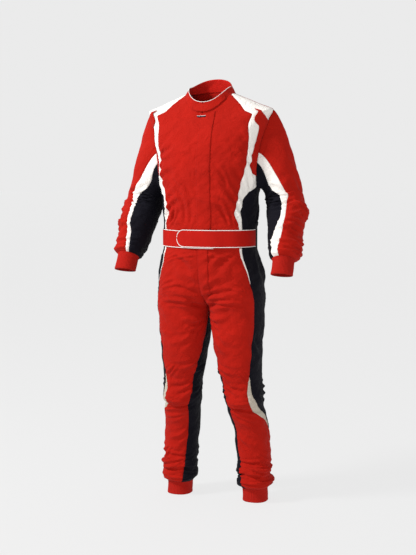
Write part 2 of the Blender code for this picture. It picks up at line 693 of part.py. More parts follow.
def build_sleeves():
    """Red outer, white band and navy under part of each sleeve, and a knit cuff."""
    rows = np.array(SLEEVE_ROWS)
    red_white, white_navy, back_seam = sleeve_seams(rows)
    sleeve_piece("sleeve_outer", rows, red_white, back_seam, material("cloth_red", RED))
    sleeve_piece("sleeve_band", rows, white_navy, red_white, material("cloth_white", WHITE))
    sleeve_piece("sleeve_under", rows, back_seam - 360, white_navy, material("cloth_navy", NAVY))
    rows = np.array([WRIST_H - SEAM_GAP, 0.850, 0.830, CUFF_END_H])
    angles = np.broadcast_to(np.linspace(0, 360, CUFF_SIDES + 1), (len(rows), CUFF_SIDES + 1))
    tube("wrist_cuff", arm, angles, rows, material("knit_red", DARK_RED), arm_frame(rows)[1])


def tube(name, surface, angles, rows, look, axis):
    """A cuff on each side, square to its axis at both ends."""
    levels = np.broadcast_to(rows[:, None], angles.shape)
    outer, into = surface(angles, levels), inward(surface, angles, levels)
    into = unit(into - (into * axis[:, None]).sum(-1, keepdims=True) * axis[:, None])
    for side, flip in (("_left", 1), ("_right", -1)):
        tube_object(name + side, outer * (flip, 1, 1), into * (flip, 1, 1), look)


def tube_object(name, outer, into, look):
    """The wall of a tube: outer and inner rings, joined at both ends."""
    rows, columns = outer.shape[0], outer.shape[1] - 1
    rings = np.concatenate([outer[:, :-1], (outer + RIB_WALL * into)[::-1, :-1]])
    at = np.arange(2 * rows * columns).reshape(2 * rows, columns)
    at = np.concatenate([at, at[:1]])
    beside = np.roll(at, -1, axis=1)
    lower = np.stack([at[:-1], beside[:-1], beside[1:]], axis=-1).reshape(-1, 3)
    upper = np.stack([at[:-1], beside[1:], at[1:]], axis=-1).reshape(-1, 3)
    add_object(name, rings.reshape(-1, 3), np.concatenate([lower, upper]), look)


def sleeve_piece(name, rows, low, high, look):
    """One piece of the sleeve. Its columns start at the armhole's own corners."""
    low, high = shift(sleeve, low, rows, TWIST_GAP / 2), shift(sleeve, high, rows, -TWIST_GAP / 2)
    turn = np.unique(np.concatenate([CORNER_TURN, CORNER_TURN - 360]))
    inside = turn[(turn > low[0] + 1) & (turn < high[0] - 1)]
    shares = np.concatenate([[0], (inside - low[0]) / (high[0] - low[0]), [1]])
    angles = between(low, high, shares)
    levels = np.broadcast_to(rows[:, None], angles.shape)
    outer, into = sleeve(angles, levels), inward(sleeve, angles, levels)
    into[0] = unit(on_corners(SHARED, angles[0]))
    _, up, _, _ = arm_frame(levels[-1])
    into[-1] = unit(into[-1] - (into[-1] * up).sum(-1, keepdims=True) * up)
    both_sides(name, outer, into, look)


def clip_angles(rows):
    """How far a leg's ring is cut off by the suit's middle, as an angle from the front and from the back."""
    share = (LEG.read("x", rows) - SEAM_GAP / 2) / LEG.read("half_w", rows)
    return np.degrees(np.arcsin(np.clip(share, 0, 1) ** (LEG_POWER / 2)))


def build_legs():
    """Red front, navy back and light knee insert of each leg. The crotch's rows end on the suit's middle."""
    rows = np.array(LEG_ROWS)
    trunk = rows > CROTCH_H + 1e-9
    front_edge, back_edge = LEG_SEAMS.read("front_edge", rows), LEG_SEAMS.read("back_edge", rows)
    inner = LEG_SEAMS.read("inner", rows)
    clip = clip_angles(rows)
    half = TWIST_GAP / 2
    low = np.where(trunk, -clip, shift(leg, inner, rows, half))
    front = between(low, shift(leg, front_edge, rows, -half), even(8))
    high = np.where(trunk, 180 + clip, shift(leg, inner + 360, rows, -half))
    back = between(shift(leg, back_edge, rows, half), high, even(9))
    leg_piece("leg_front", rows, front, trunk, 0, material("cloth_red", RED))
    leg_piece("leg_back", rows, back, trunk, -1, material("cloth_navy", NAVY))
    own = (rows < KNEE_TOP_H + 1e-9) & (rows > KNEE_FOOT_H - 1e-9)
    knee = between(shift(leg, front_edge, rows, half), shift(leg, back_edge, rows, -half), even(3))[own]
    levels = np.broadcast_to(rows[own, None], knee.shape)
    both_sides("knee_insert", leg(knee, levels), inward(leg, knee, levels), material("cloth_cream", CREAM))
    rows = np.array([ANKLE_H - SEAM_GAP, 0.038, 0.020, 0.0])
    angles = np.broadcast_to(np.linspace(0, 360, CUFF_SIDES + 1), (len(rows), CUFF_SIDES + 1))
    upright = np.tile([0.0, 0.0, 1.0], (len(rows), 1))
    tube("ankle_cuff", leg, angles, rows, material("knit_red", DARK_RED), upright)


def leg_piece(name, rows, angles, trunk, middle, look):
    """One piece of a leg; middle is its column on the suit's middle."""
    levels = np.broadcast_to(rows[:, None], angles.shape)
    outer, into = leg(angles, levels), inward(leg, angles, levels)
    outer[..., 0] = np.maximum(outer[..., 0], SEAM_GAP / 2)
    into[trunk, middle, 0] = 0
    into[trunk, middle] = unit(into[trunk, middle])
    level_edge(into, 0)
    level_edge(into, -1)
    both_sides(name, outer, into, look)


def main():
    for old in list(bpy.data.objects):
        bpy.data.objects.remove(old)
    neck_angles = build_torso()
    build_strips()
    build_collar(neck_angles)
    build_placket()
    build_belt()
    build_sleeves()
    build_legs()


main()
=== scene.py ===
"""Looks of the karting suit: thin cloth shells on the solids' forms, with creases, trims and materials.

Metres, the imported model's frame: +Z up, the front faces -Y and the wearer's left is +X. The tables and the
surfaces repeat the solids'. Heights in them are above the ankle hem, SHOULDER_H below the origin.
"""

import bpy
import numpy as np
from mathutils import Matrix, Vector


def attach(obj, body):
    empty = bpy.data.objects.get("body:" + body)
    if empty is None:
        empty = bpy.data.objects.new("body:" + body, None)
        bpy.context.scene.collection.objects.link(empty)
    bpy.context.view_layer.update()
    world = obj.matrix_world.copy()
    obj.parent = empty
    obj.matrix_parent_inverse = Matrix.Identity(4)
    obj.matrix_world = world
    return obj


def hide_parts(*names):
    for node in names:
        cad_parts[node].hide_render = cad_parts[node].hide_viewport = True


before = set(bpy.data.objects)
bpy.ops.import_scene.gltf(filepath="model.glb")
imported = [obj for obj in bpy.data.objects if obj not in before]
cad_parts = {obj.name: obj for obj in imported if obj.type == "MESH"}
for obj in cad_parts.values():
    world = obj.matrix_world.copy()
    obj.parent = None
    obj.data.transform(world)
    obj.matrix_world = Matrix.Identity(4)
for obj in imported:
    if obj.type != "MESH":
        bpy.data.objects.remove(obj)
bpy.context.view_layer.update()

SHOULDER_H = 1.385  # the origin, on the shoulder line, above the ankle hem
WALL = 0.0018
RIB_WALL = 0.0022  # of knit, and of the collar
SEAM_GAP = 0.0003
LIFT = 0.0007  # an overlaid piece lies this far off the cloth under it
EDGE_SHIFT = 0.0008  # the sleeve starts this far from the armhole's edge
NECK_LAP = 0.0007  # the collar stands this far down in the neck seam
PROBE_ANGLE, PROBE_LEVEL, ARM_PROBE = 0.5, 0.001, 0.01  # steps that measure a surface's directions

WAIST_H = 0.934
ARMPIT_V = 1.100
TIP_V = 1.335
NECK_V = 1.363
ARM_TOP_H = 1.090  # the first full ring of the sleeve
CAP_SPAN = 0.100  # levels above it that stand for the sleeve's cap
WRIST_H = 0.862
CUFF_END_H = 0.812
CROTCH_H = 0.690
ANKLE_H = 0.047


def sind(angle):
    return np.sin(np.radians(angle))


def cosd(angle):
    return np.cos(np.radians(angle))


def smooth(x, xs, ys):
    """A cubic through the points (xs, ys) that never overshoots them, and stays level past the ends."""
    order = np.argsort(xs)
    xs, ys = np.asarray(xs, float)[order], np.asarray(ys, float)[order]
    step = np.diff(xs)
    slope = np.diff(ys) / step
    same = slope[:-1] * slope[1:] > 0
    total = np.where(same, slope[:-1] + slope[1:], 1.0)
    middle = np.where(same, 2 * slope[:-1] * slope[1:] / total, 0.0)
    tangent = np.concatenate([slope[:1], middle, slope[-1:]])
    x = np.clip(x, xs[0], xs[-1])
    i = np.clip(np.searchsorted(xs, x, side="right") - 1, 0, len(step) - 1)
    t = (x - xs[i]) / step[i]
    rise = t * t * (3 - 2 * t)
    bend = tangent[i] * t * (1 - t) ** 2 - tangent[i + 1] * t * t * (1 - t)
    return ys[i] + (ys[i + 1] - ys[i]) * rise + step[i] * bend


class Table:
    """Rows of named columns. read(name, x) is one column at x, a value of the first column."""

    def __init__(self, columns, *rows):
        self.names = columns.split()
        self.rows = np.array(rows)

    def read(self, name, x):
        return smooth(x, self.rows[:, 0], self.rows[:, self.names.index(name)])


TORSO_POWER = 2.3
TORSO = Table(
    "front_h side_h back_h half_w front_d back_d",
    (0.934, 0.934, 0.934, 0.168, 0.120, 0.115),
    (1.000, 1.000, 1.000, 0.168, 0.121, 0.118),
    (1.060, 1.060, 1.060, 0.171, 0.125, 0.122),
    (1.100, 1.110, 1.110, 0.178, 0.128, 0.125),
    (1.160, 1.175, 1.180, 0.186, 0.130, 0.125),
    (1.220, 1.240, 1.260, 0.195, 0.126, 0.120),
    (1.270, 1.300, 1.330, 0.207, 0.115, 0.110),
    (1.310, 1.348, 1.380, 0.219, 0.100, 0.096),
    (1.335, 1.375, 1.410, 0.228, 0.089, 0.086),
    (1.341, 1.392, 1.418, 0.186, 0.085, 0.082),
    (1.349, 1.409, 1.426, 0.145, 0.081, 0.079),
    (1.357, 1.423, 1.434, 0.110, 0.079, 0.076),
    (1.363, 1.432, 1.440, 0.088, 0.079, 0.075),
)
TORSO_SEAMS = Table(
    "front_h front_band band_side",
    (0.934, 54, 58),
    (0.975, 51, 57),
    (1.020, 44, 54),
    (1.065, 48, 58),
    (1.085, 49.5, 68),
    (1.100, 51, 84),
    (1.150, 54, 84),
    (1.190, 57, 84),
    (1.230, 56, 84),
    (1.265, 52.5, 84),
    (1.310, 47.5, 84),
    (1.337, 48, 84),
    (1.350, 60, 84),
    (1.363, 76, 84),
)
ARMHOLE = Table(
    "q half_angle",
    (0.00, 6),
    (0.12, 11),
    (0.30, 15),
    (0.55, 16),
    (0.80, 11),
    (0.92, 6),
    (1.00, 0),
)
ARMHOLE_LEAN = 7.0  # the armhole's middle runs back by this angle as it rises
ARMHOLE_Q = np.linspace(0, 1, 61)  # 0 at the armpit and 1 at the shoulder
ARMHOLE_TURN = 160.0  # the sleeve's angle from the armhole's top to its lowest corner
STRIP = Table(
    "q inner outer rise",  # degrees before the armhole's front edge, and further off the yoke band
    (0.150, 2.5, 1.2, 0),
    (0.200, 12, 1.2, 0),
    (0.300, 13.3, 1.2, 0),
    (0.450, 12.3, 1.2, 0),
    (0.600, 12, 1.2, 0),
    (0.720, 14, 1.2, 0),
    (0.800, 19, 1.2, 0.0004),
    (0.840, 26, 1.2, 0.0008),
    (0.870, 31, 7, 0.0010),
    (0.900, 35, 14, 0.0012),
    (0.930, 38, 20, 0.0014),
    (0.960, 40.5, 27, 0.0018),
    (0.985, 41.5, 33, 0.0026),
    (1.015, 38.5, 37.4, 0.0026),
)

CAP = Table("outer first second", (0.0, 0.020, 0.016), (0.5, 0.030, 0.060), (1.0, 0.036, 0.120))
ARM = Table(
    "centre_h x y radius",
    (1.200, 0.240, 0.040, 0.066),
    (1.090, 0.257, 0.040, 0.066),
    (1.045, 0.267, 0.031, 0.067),
    (1.000, 0.275, 0.010, 0.065),
    (0.950, 0.283, -0.016, 0.062),
    (0.900, 0.287, -0.043, 0.056),
    (0.878, 0.289, -0.055, 0.052),
    (0.870, 0.290, -0.059, 0.050),
    (0.862, 0.290, -0.063, 0.040),
    (0.855, 0.291, -0.067, 0.037),
    (0.812, 0.292, -0.089, 0.037),
)
SLEEVE_SEAMS = Table(
    "height red_white white_navy",
    (1.270, 0, -5),
    (1.220, 5, -13),
    (1.170, 7, -21),
    (1.130, 13, -26),
    (1.105, 19, -19),
    (1.080, 27, 0),
    (1.060, 19, 2),
    (1.020, 14, 0),
    (0.975, 6, -10),
    (0.950, 2, -21),
    (0.900, -8, -30),
    (0.860, -10, -34),
)
SLEEVE_BACK_SEAM = 200.0
CAP_DROP, CAP_DROP_MORE = 20.0, 15.0  # how steeply the sleeve leaves the armhole, and more at the outer side

LEG_POWER = 2.3
LEG = Table(
    "height x y half_w front_d back_d",
    (0.934, 0.0000, 0.000, 0.1680, 0.120, 0.115),
    (0.897, 0.0000, 0.000, 0.1680, 0.120, 0.116),
    (0.870, 0.0040, 0.000, 0.1690, 0.120, 0.123),
    (0.820, 0.0290, 0.003, 0.1550, 0.120, 0.128),
    (0.770, 0.0565, 0.005, 0.1335, 0.116, 0.125),
    (0.730, 0.0795, 0.006, 0.1145, 0.110, 0.118),
    (0.700, 0.0935, 0.008, 0.1005, 0.104, 0.108),
    (0.690, 0.0970, 0.008, 0.0968, 0.102, 0.106),
    (0.660, 0.0990, 0.009, 0.0945, 0.099, 0.102),
    (0.600, 0.1005, 0.011, 0.0890, 0.094, 0.096),
    (0.545, 0.1015, 0.012, 0.0840, 0.088, 0.090),
    (0.444, 0.1110, 0.022, 0.0700, 0.076, 0.078),
    (0.390, 0.1160, 0.027, 0.0670, 0.072, 0.074),
    (0.342, 0.1215, 0.033, 0.0660, 0.072, 0.070),
    (0.300, 0.1270, 0.050, 0.0640, 0.066, 0.068),
    (0.240, 0.1350, 0.068, 0.0620, 0.064, 0.066),
    (0.137, 0.1420, 0.070, 0.0595, 0.062, 0.062),
    (0.090, 0.1440, 0.070, 0.0610, 0.064, 0.064),
    (0.060, 0.1446, 0.070, 0.0610, 0.063, 0.063),
    (0.047, 0.1455, 0.070, 0.0470, 0.048, 0.048),
    (0.040, 0.1460, 0.070, 0.0440, 0.045, 0.045),
    (0.000, 0.1475, 0.070, 0.0440, 0.045, 0.045),
)
LEG_STRETCH = 0.022  # below the crotch each ring stands lower than its height, in proportion, by up to this
LEG_SEAMS = Table(
    "height front_edge back_edge inner",
    (0.934, 58, 58, -90),
    (0.870, 55, 55, -90),
    (0.780, 58, 58, -90),
    (0.690, 60, 60, -88),
    (0.545, 54, 54, -72),
    (0.480, 46, 46, -58),
    (0.455, 41.5, 43, -56),
    (0.420, 35, 44.5, -52),
    (0.393, 30, 46, -50),
    (0.372, 30, 52, -46),
    (0.353, 34, 63, -44),
    (0.335, 42, 77, -42),
    (0.315, 58, 90, -40),
    (0.285, 92, 104, -40),
    (0.260, 110, 111.5, -40),
    (0.235, 117, 117, -40),
    (0.140, 125, 125, -36),
    (0.047, 125, 125, -24),
)
KNEE_TOP_H, KNEE_FOOT_H = 0.455, 0.260
FOLDS = Table(
    "height depth spread facing reach",
    (0.366, 0.004, 0.016, 0, 150),
    (0.336, -0.008, 0.012, 10, 150),
    (0.300, 0.003, 0.018, 180, 90),
    (0.132, -0.003, 0.009, 60, 150),
    (0.114, 0.004, 0.009, 0, 170),
    (0.095, -0.005, 0.008, 200, 170),
    (0.077, 0.006, 0.010, 90, 180),
)
SLEEVE_FOLDS = Table(
    "height depth spread facing reach",
    (1.075, 0.003, 0.016, 40, 100),
    (1.045, -0.005, 0.014, 0, 110),
    (1.010, 0.003, 0.016, 120, 120),
    (0.925, -0.003, 0.011, 30, 150),
    (0.900, 0.003, 0.010, 200, 170),
    (0.874, 0.003, 0.008, 90, 180),
)

COLLAR = Table(
    "rise front_h side_h back_h half_w front_d back_d",
    (0, 1.363, 1.432, 1.440, 0.0880, 0.079, 0.075),
    (0.5, 1.381, 1.446, 1.463, 0.0815, 0.076, 0.072),
    (1, 1.400, 1.460, 1.487, 0.0745, 0.074, 0.066),
)
RIM_EVEN = 0.35  # how much of the rim's rise runs evenly from front to back
COLLAR_SPLIT = 0.8  # degrees either side of the front, under the tab
TAB_ANGLES = (-26.0, 55.0)
TAB_RISE = (0.10, 0.86)
TAB_LIFT = 0.0017
COLLAR_PIPING = (-96, 96)
PLACKET = Table(
    "height right left",
    (0.732, -0.002, 0.036),
    (0.900, -0.002, 0.036),
    (0.990, -0.004, 0.046),
    (1.358, -0.004, 0.046),
)
PLACKET_LIFT = 0.0014
UNDER_STRAP = Table("angle low high", (-88.0, 0.902, 0.960), (-20.0, 0.900, 0.957), (17.0, 0.899, 0.953))
OVER_STRAP = Table("angle low high", (-25.0, 0.903, 0.961), (17.0, 0.903, 0.961), (88.0, 0.903, 0.961))
STRAP_ROUND = 10.0  # the over-strap's end is a half round over this angle
STRAP_RISE = PLACKET_LIFT + WALL
BELT_HALF_W, BELT_FRONT_D, BELT_BACK_D = 0.168, 0.121, 0.118
BELT_UP, BELT_DOWN = (-13.0, -5.0), (17.0, 29.0)  # where it rises on to the placket, and comes down again
BELT_MEETS = (19.0, 34.0)  # where the over-strap comes down beside the under-strap's end
STRAP_STANDS_OFF = 0.0026  # how much further out it lies where the under-strap is beneath it


def superellipse(angle, half_w, front_d, back_d, power):
    """The ring's x and y at each angle."""
    side, ahead = sind(angle), cosd(angle)
    depth = np.where(ahead > 0, front_d, back_d)
    x = half_w * np.sign(side) * np.abs(side) ** (2 / power)
    return x, -depth * np.sign(ahead) * np.abs(ahead) ** (2 / power)


def unit(vectors):
    return vectors / np.linalg.norm(vectors, axis=-1, keepdims=True)


def fold_depth(table, angle, height):
    """How far folds push the cloth out: each is a ridge or trough across the tube, deepest where it faces."""
    out = 0.0
    for at, depth, spread, facing, reach in table.rows:
        turn = np.abs((angle - facing + 180) % 360 - 180)
        share = np.where(turn < reach, 0.5 + 0.5 * cosd(180 * turn / reach), 0.0)
        out = out + depth * share * np.exp(-(((height - at) / spread) ** 2))
    return out


def tilted_ring(table, angle, level):
    """A torso-like ring whose front, side and back stand at their own heights."""
    front, back = table.read("front_h", level), table.read("back_h", level)
    middle = table.read("side_h", level)
    edge = np.where(cosd(angle) > 0, front, back)
    height = edge + (middle - edge) * sind(angle) ** 2
    half_w, front_d = table.read("half_w", level), table.read("front_d", level)
    x, y = superellipse(angle, half_w, front_d, table.read("back_d", level), TORSO_POWER)
    return np.stack([x, y, height + 0 * x], axis=-1)


def torso(angle, level):
    return tilted_ring(TORSO, angle, level)


def collar(angle, level):
    points = tilted_ring(COLLAR, angle, level)
    front, back = COLLAR.read("front_h", level), COLLAR.read("back_h", level)
    even_h = front + (back - front) * (0.5 - 0.5 * cosd(angle))
    points[..., 2] += RIM_EVEN * level * (even_h - points[..., 2])
    return points


def leg(angle, level):
    """The left leg's outer face, from the waist to the ankle cuff's hem."""
    swell = fold_depth(FOLDS, angle, level)
    front_d, back_d = LEG.read("front_d", level) + swell, LEG.read("back_d", level) + swell
    x, y = superellipse(angle, LEG.read("half_w", level) + swell, front_d, back_d, LEG_POWER)
    height = level - LEG_STRETCH * np.maximum(0, CROTCH_H - level) / CROTCH_H + 0 * x
    return np.stack([x + LEG.read("x", level), y + LEG.read("y", level), height], axis=-1)


def inward(surface, angle, level):
    """Unit directions from the outer face into the cloth."""
    around = surface(angle + PROBE_ANGLE, level) - surface(angle - PROBE_ANGLE, level)
    up = surface(angle, level + PROBE_LEVEL) - surface(angle, level - PROBE_LEVEL)
    return unit(np.cross(up, around))


def armhole_level(q):
    return ARMPIT_V + (TIP_V - ARMPIT_V) * np.asarray(q)


def armhole_angles(q):
    """The torso angles of the armhole's front and back edges."""
    middle, half = 90 + ARMHOLE_LEAN * np.asarray(q), ARMHOLE.read("half_angle", q)
    return middle - half, middle + half


def armhole_corners():
    """The armhole's corners: the sleeve angle, then the torso's angle and level, from armpit to armpit."""
    q = ARMHOLE_Q
    front, back = armhole_angles(q)
    rise = ARMHOLE_TURN * (1 - q)
    level = armhole_level(q)
    turn = np.concatenate([[-90], 90 - rise, 90 + rise[-2::-1], [270]])
    angles = np.concatenate([[90], front, back[-2::-1], [90]])
    levels = np.concatenate([[ARMPIT_V], level, level[-2::-1], [ARMPIT_V]])
    return turn, angles, levels


CORNER_TURN, CORNER_ANGLE, CORNER_LEVEL = armhole_corners()
CORNER_POINTS = torso(CORNER_ANGLE, CORNER_LEVEL)


def on_corners(values, turn):
    """Straight from corner to corner of the armhole, as the torso's own edge is."""
    turn = np.mod(turn + 90, 360) - 90
    return np.stack([np.interp(turn, CORNER_TURN, values[:, k]) for k in range(3)], axis=-1)


def arm_centre(level):
    return np.stack([ARM.read("x", level), ARM.read("y", level), level], axis=-1)


def arm_frame(level):
    """The arm's centre, its direction up, and its outer and front directions."""
    up = unit(arm_centre(level + ARM_PROBE) - arm_centre(level - ARM_PROBE))
    outer = unit(np.cross(up, np.cross([1.0, 0.0, 0.0], up)))
    return arm_centre(level), up, outer, np.cross(outer, up)


def arm(angle, level):
    """A full ring of the sleeve, square to the arm."""
    centre, _, outer, ahead = arm_frame(level)
    radius = ARM.read("radius", level) + fold_depth(SLEEVE_FOLDS, angle, level)
    return centre + radius[..., None] * (ahead * cosd(angle)[..., None] + outer * sind(angle)[..., None])


def sleeve(angle, level):
    """The left sleeve's outer face: a cap from the armhole to the first full ring, then the arm."""
    angle, level = np.broadcast_arrays(np.asarray(angle, float), np.asarray(level, float))
    start = np.full_like(level, ARM_TOP_H)
    _, up, _, _ = arm_frame(start)
    outer = 0.5 + 0.5 * sind(angle)
    drop = CAP_DROP + CAP_DROP_MORE * outer
    leave = np.stack([cosd(drop), 0 * drop, -sind(drop)], axis=-1)
    p0 = on_corners(CORNER_POINTS, angle) + EDGE_SHIFT * leave
    p3 = arm(angle, start)
    p1 = p0 + CAP.read("first", outer)[..., None] * leave
    p2 = p3 + CAP.read("second", outer)[..., None] * up
    t = np.clip((ARM_TOP_H + CAP_SPAN - level) / CAP_SPAN, 0, 1)[..., None]
    cap = (1 - t) ** 3 * p0 + 3 * t * (1 - t) ** 2 * p1 + 3 * t * t * (1 - t) * p2 + t**3 * p3
    return np.where((level > ARM_TOP_H)[..., None], cap, arm(angle, np.minimum(level, ARM_TOP_H)))


# Creases run from (angle, height) to the end (angle, height). A negative depth is a trough.
CREASES = "angle height end_angle end_height width depth bow"
TORSO_CREASES = Table(
    CREASES,
    (58, 0.985, 12, 1.095, 0.011, 0.0050, 0.10),
    (50, 1.040, 16, 1.145, 0.012, 0.0036, -0.08),
    (62, 1.075, 30, 1.190, 0.014, -0.0040, 0.06),
    (74, 1.112, 40, 1.205, 0.010, 0.0034, 0.12),
    (36, 0.975, 20, 1.050, 0.009, -0.0034, 0.05),
    (-56, 0.990, -22, 1.080, 0.011, 0.0042, -0.10),
    (-70, 1.092, -34, 1.180, 0.011, 0.0036, -0.10),
    (-44, 0.968, -30, 1.060, 0.008, -0.0032, 0.10),
    (-16, 0.970, -24, 1.110, 0.010, -0.0026, 0.08),
    (48, 0.972, 30, 1.010, 0.006, 0.0028, 0.06),
    (30, 1.110, 4, 1.190, 0.008, 0.0024, 0.08),
    (-6, 1.060, -30, 1.150, 0.008, 0.0022, 0.08),
    (-50, 0.964, -34, 0.992, 0.006, 0.0028, 0.06),
    (70, 1.140, 44, 1.240, 0.008, -0.0030, 0.10),
    (-66, 1.130, -40, 1.240, 0.008, -0.0028, -0.10),
    (-60, 1.225, -24, 1.262, 0.013, -0.0030, 0.12),
    (62, 1.232, 26, 1.272, 0.012, -0.0028, -0.12),
    (84, 0.972, 108, 1.070, 0.010, 0.0040, 0.10),
    (100, 0.985, 138, 1.080, 0.012, -0.0042, -0.10),
    (122, 0.975, 160, 1.060, 0.010, 0.0044, 0.12),
    (108, 1.130, 152, 1.215, 0.012, 0.0038, -0.12),
    (112, 1.180, 150, 1.290, 0.013, -0.0034, 0.08),
    (172, 0.975, 186, 1.130, 0.012, -0.0030, 0.06),
    (-84, 0.975, -110, 1.060, 0.010, 0.0042, -0.10),
    (-104, 0.990, -140, 1.065, 0.011, -0.0040, 0.12),
    (-126, 0.972, -158, 1.085, 0.011, 0.0042, -0.08),
    (-106, 1.140, -148, 1.200, 0.012, 0.0036, 0.12),
    (-116, 1.200, -146, 1.300, 0.012, -0.0032, -0.08),
    (196, 1.000, 214, 1.090, 0.010, 0.0030, 0.10),
)
SLEEVE_CREASES = Table(
    CREASES,
    (-50, 1.085, 30, 1.060, 0.007, -0.0040, 0.08),
    (-60, 1.052, 20, 1.035, 0.006, 0.0036, -0.06),
    (-40, 1.020, 44, 1.042, 0.007, -0.0038, 0.05),
    (-20, 1.118, 46, 1.096, 0.009, 0.0032, 0.06),
    (10, 0.990, 80, 1.020, 0.009, 0.0026, 0.10),
    (60, 1.130, 150, 1.100, 0.010, -0.0026, 0.08),
    (150, 1.072, 230, 1.045, 0.009, 0.0034, -0.08),
    (170, 1.020, 250, 1.050, 0.008, -0.0034, 0.08),
    (-30, 0.950, 50, 0.964, 0.008, 0.0028, 0.08),
    (20, 0.934, 120, 0.946, 0.007, -0.0030, 0.06),
    (-60, 0.914, 40, 0.908, 0.006, 0.0034, 0.04),
    (30, 0.892, 130, 0.900, 0.006, -0.0036, 0.04),
    (110, 0.905, 230, 0.912, 0.007, 0.0036, 0.05),
    (180, 0.884, 290, 0.890, 0.006, -0.0030, -0.04),
    (200, 1.130, 262, 1.100, 0.009, 0.0030, 0.08),
    (40, 1.040, 140, 1.016, 0.0070, 0.0050, 0.05),
    (50, 1.004, 150, 0.990, 0.0065, 0.0042, -0.05),
    (-70, 1.070, -10, 1.100, 0.0070, 0.0036, 0.05),
    (0, 0.968, 100, 0.952, 0.0065, 0.0038, 0.05),
    (-40, 0.884, 70, 0.876, 0.0050, 0.0044, 0.03),
    (60, 0.918, 160, 0.930, 0.0060, 0.0044, 0.04),
    (40, 0.876, 170, 0.884, 0.0050, 0.0042, -0.03),
)
LEG_CREASES = Table(
    CREASES,
    (-72, 0.716, -18, 0.775, 0.010, 0.0050, 0.12),
    (-70, 0.690, -8, 0.716, 0.010, -0.0046, 0.08),
    (-64, 0.655, 0, 0.664, 0.011, 0.0040, 0.10),
    (-60, 0.742, 14, 0.812, 0.007, 0.0030, 0.10),
    (-50, 0.726, 34, 0.770, 0.008, -0.0034, 0.06),
    (-40, 0.700, 44, 0.708, 0.007, 0.0030, -0.06),
    (-66, 0.668, -20, 0.600, 0.007, -0.0036, 0.08),
    (50, 0.845, 4, 0.880, 0.006, 0.0026, 0.06),
    (48, 0.740, 10, 0.765, 0.008, 0.0028, 0.08),
    (46, 0.880, 8, 0.800, 0.011, -0.0032, 0.10),
    (20, 0.886, -6, 0.835, 0.008, 0.0028, 0.06),
    (96, 0.870, 128, 0.760, 0.013, 0.0040, 0.10),
    (200, 0.740, 150, 0.690, 0.013, -0.0050, 0.12),
    (190, 0.700, 130, 0.664, 0.012, 0.0046, 0.10),
    (-30, 0.610, 22, 0.560, 0.014, 0.0030, 0.08),
    (60, 0.600, 110, 0.530, 0.014, -0.0034, 0.10),
    (-58, 0.505, 8, 0.462, 0.010, 0.0034, 0.08),
    (-40, 0.428, 28, 0.405, 0.009, -0.0038, 0.08),
    (-44, 0.344, 84, 0.330, 0.0055, -0.0060, 0.03),
    (-40, 0.360, 60, 0.372, 0.006, 0.0042, 0.05),
    (70, 0.424, 170, 0.404, 0.010, 0.0030, 0.05),
    (80, 0.386, 180, 0.366, 0.010, 0.0032, -0.04),
    (-86, 0.404, -20, 0.386, 0.008, 0.0026, 0.05),
    (-90, 0.480, -40, 0.452, 0.008, 0.0040, 0.05),
    (10, 0.480, 50, 0.440, 0.007, 0.0030, 0.05),
    (-46, 0.352, 70, 0.362, 0.007, 0.0036, 0.05),
    (-20, 0.322, 60, 0.310, 0.008, -0.0030, 0.06),
    (120, 0.402, 220, 0.420, 0.012, -0.0030, 0.08),
    (150, 0.346, 236, 0.330, 0.011, 0.0030, 0.06),
    (140, 0.450, 210, 0.480, 0.012, 0.0026, 0.08),
    (-30, 0.250, 34, 0.205, 0.013, 0.0030, 0.10),
    (90, 0.290, 160, 0.210, 0.014, -0.0034, 0.10),
    (30, 0.176, 100, 0.150, 0.009, 0.0034, 0.08),
    (-60, 0.148, 40, 0.142, 0.007, -0.0036, 0.04),
    (0, 0.122, 130, 0.128, 0.006, 0.0038, 0.04),
    (-80, 0.104, 60, 0.098, 0.006, 0.0034, -0.03),
    (100, 0.110, 240, 0.100, 0.007, -0.0036, 0.03),
    (20, 0.086, 150, 0.090, 0.005, -0.0034, 0.03),
    (-50, 0.074, 50, 0.080, 0.0045, 0.0044, 0.03),
    (40, 0.066, 160, 0.072, 0.0045, 0.0040, -0.02),
    (-20, 0.134, 90, 0.112, 0.0055, 0.0044, 0.03),
    (-90, 0.088, 10, 0.116, 0.0050, -0.0040, 0.03),
    (160, 0.132, 270, 0.140, 0.007, 0.0036, 0.04),
)
FINE = Table(
    "order along_x along_y along_z warp size",
    (0, 150, 60, 175, 2.6, 0.00062),
    (1, -120, 90, 235, 3.1, 0.00050),
    (2, 210, -110, 320, 2.2, 0.00030),
)
GATHERS = Table(
    "height spread strength",  # where the cloth crumples finely, by height above the ankle hem
    (1.215, 0.050, 0.55),
    (1.110, 0.050, 0.50),
    (1.000, 0.050, 1.05),
    (0.875, 0.034, 0.85),
    (0.745, 0.060, 0.95),
    (0.395, 0.060, 1.10),
    (0.250, 0.050, 0.35),
    (0.105, 0.045, 1.10),
)
RIPPLES = Table(
    "order along_x along_y along_z warp size",
    (0, 46, 22, 60, 1.6, 0.00070),
    (1, -34, 50, 38, 2.1, 0.00060),
    (2, 78, -40, 92, 1.4, 0.00034),
    (3, -92, -66, 118, 1.8, 0.00026),
    (4, 130, 96, -150, 1.2, 0.00014),
)


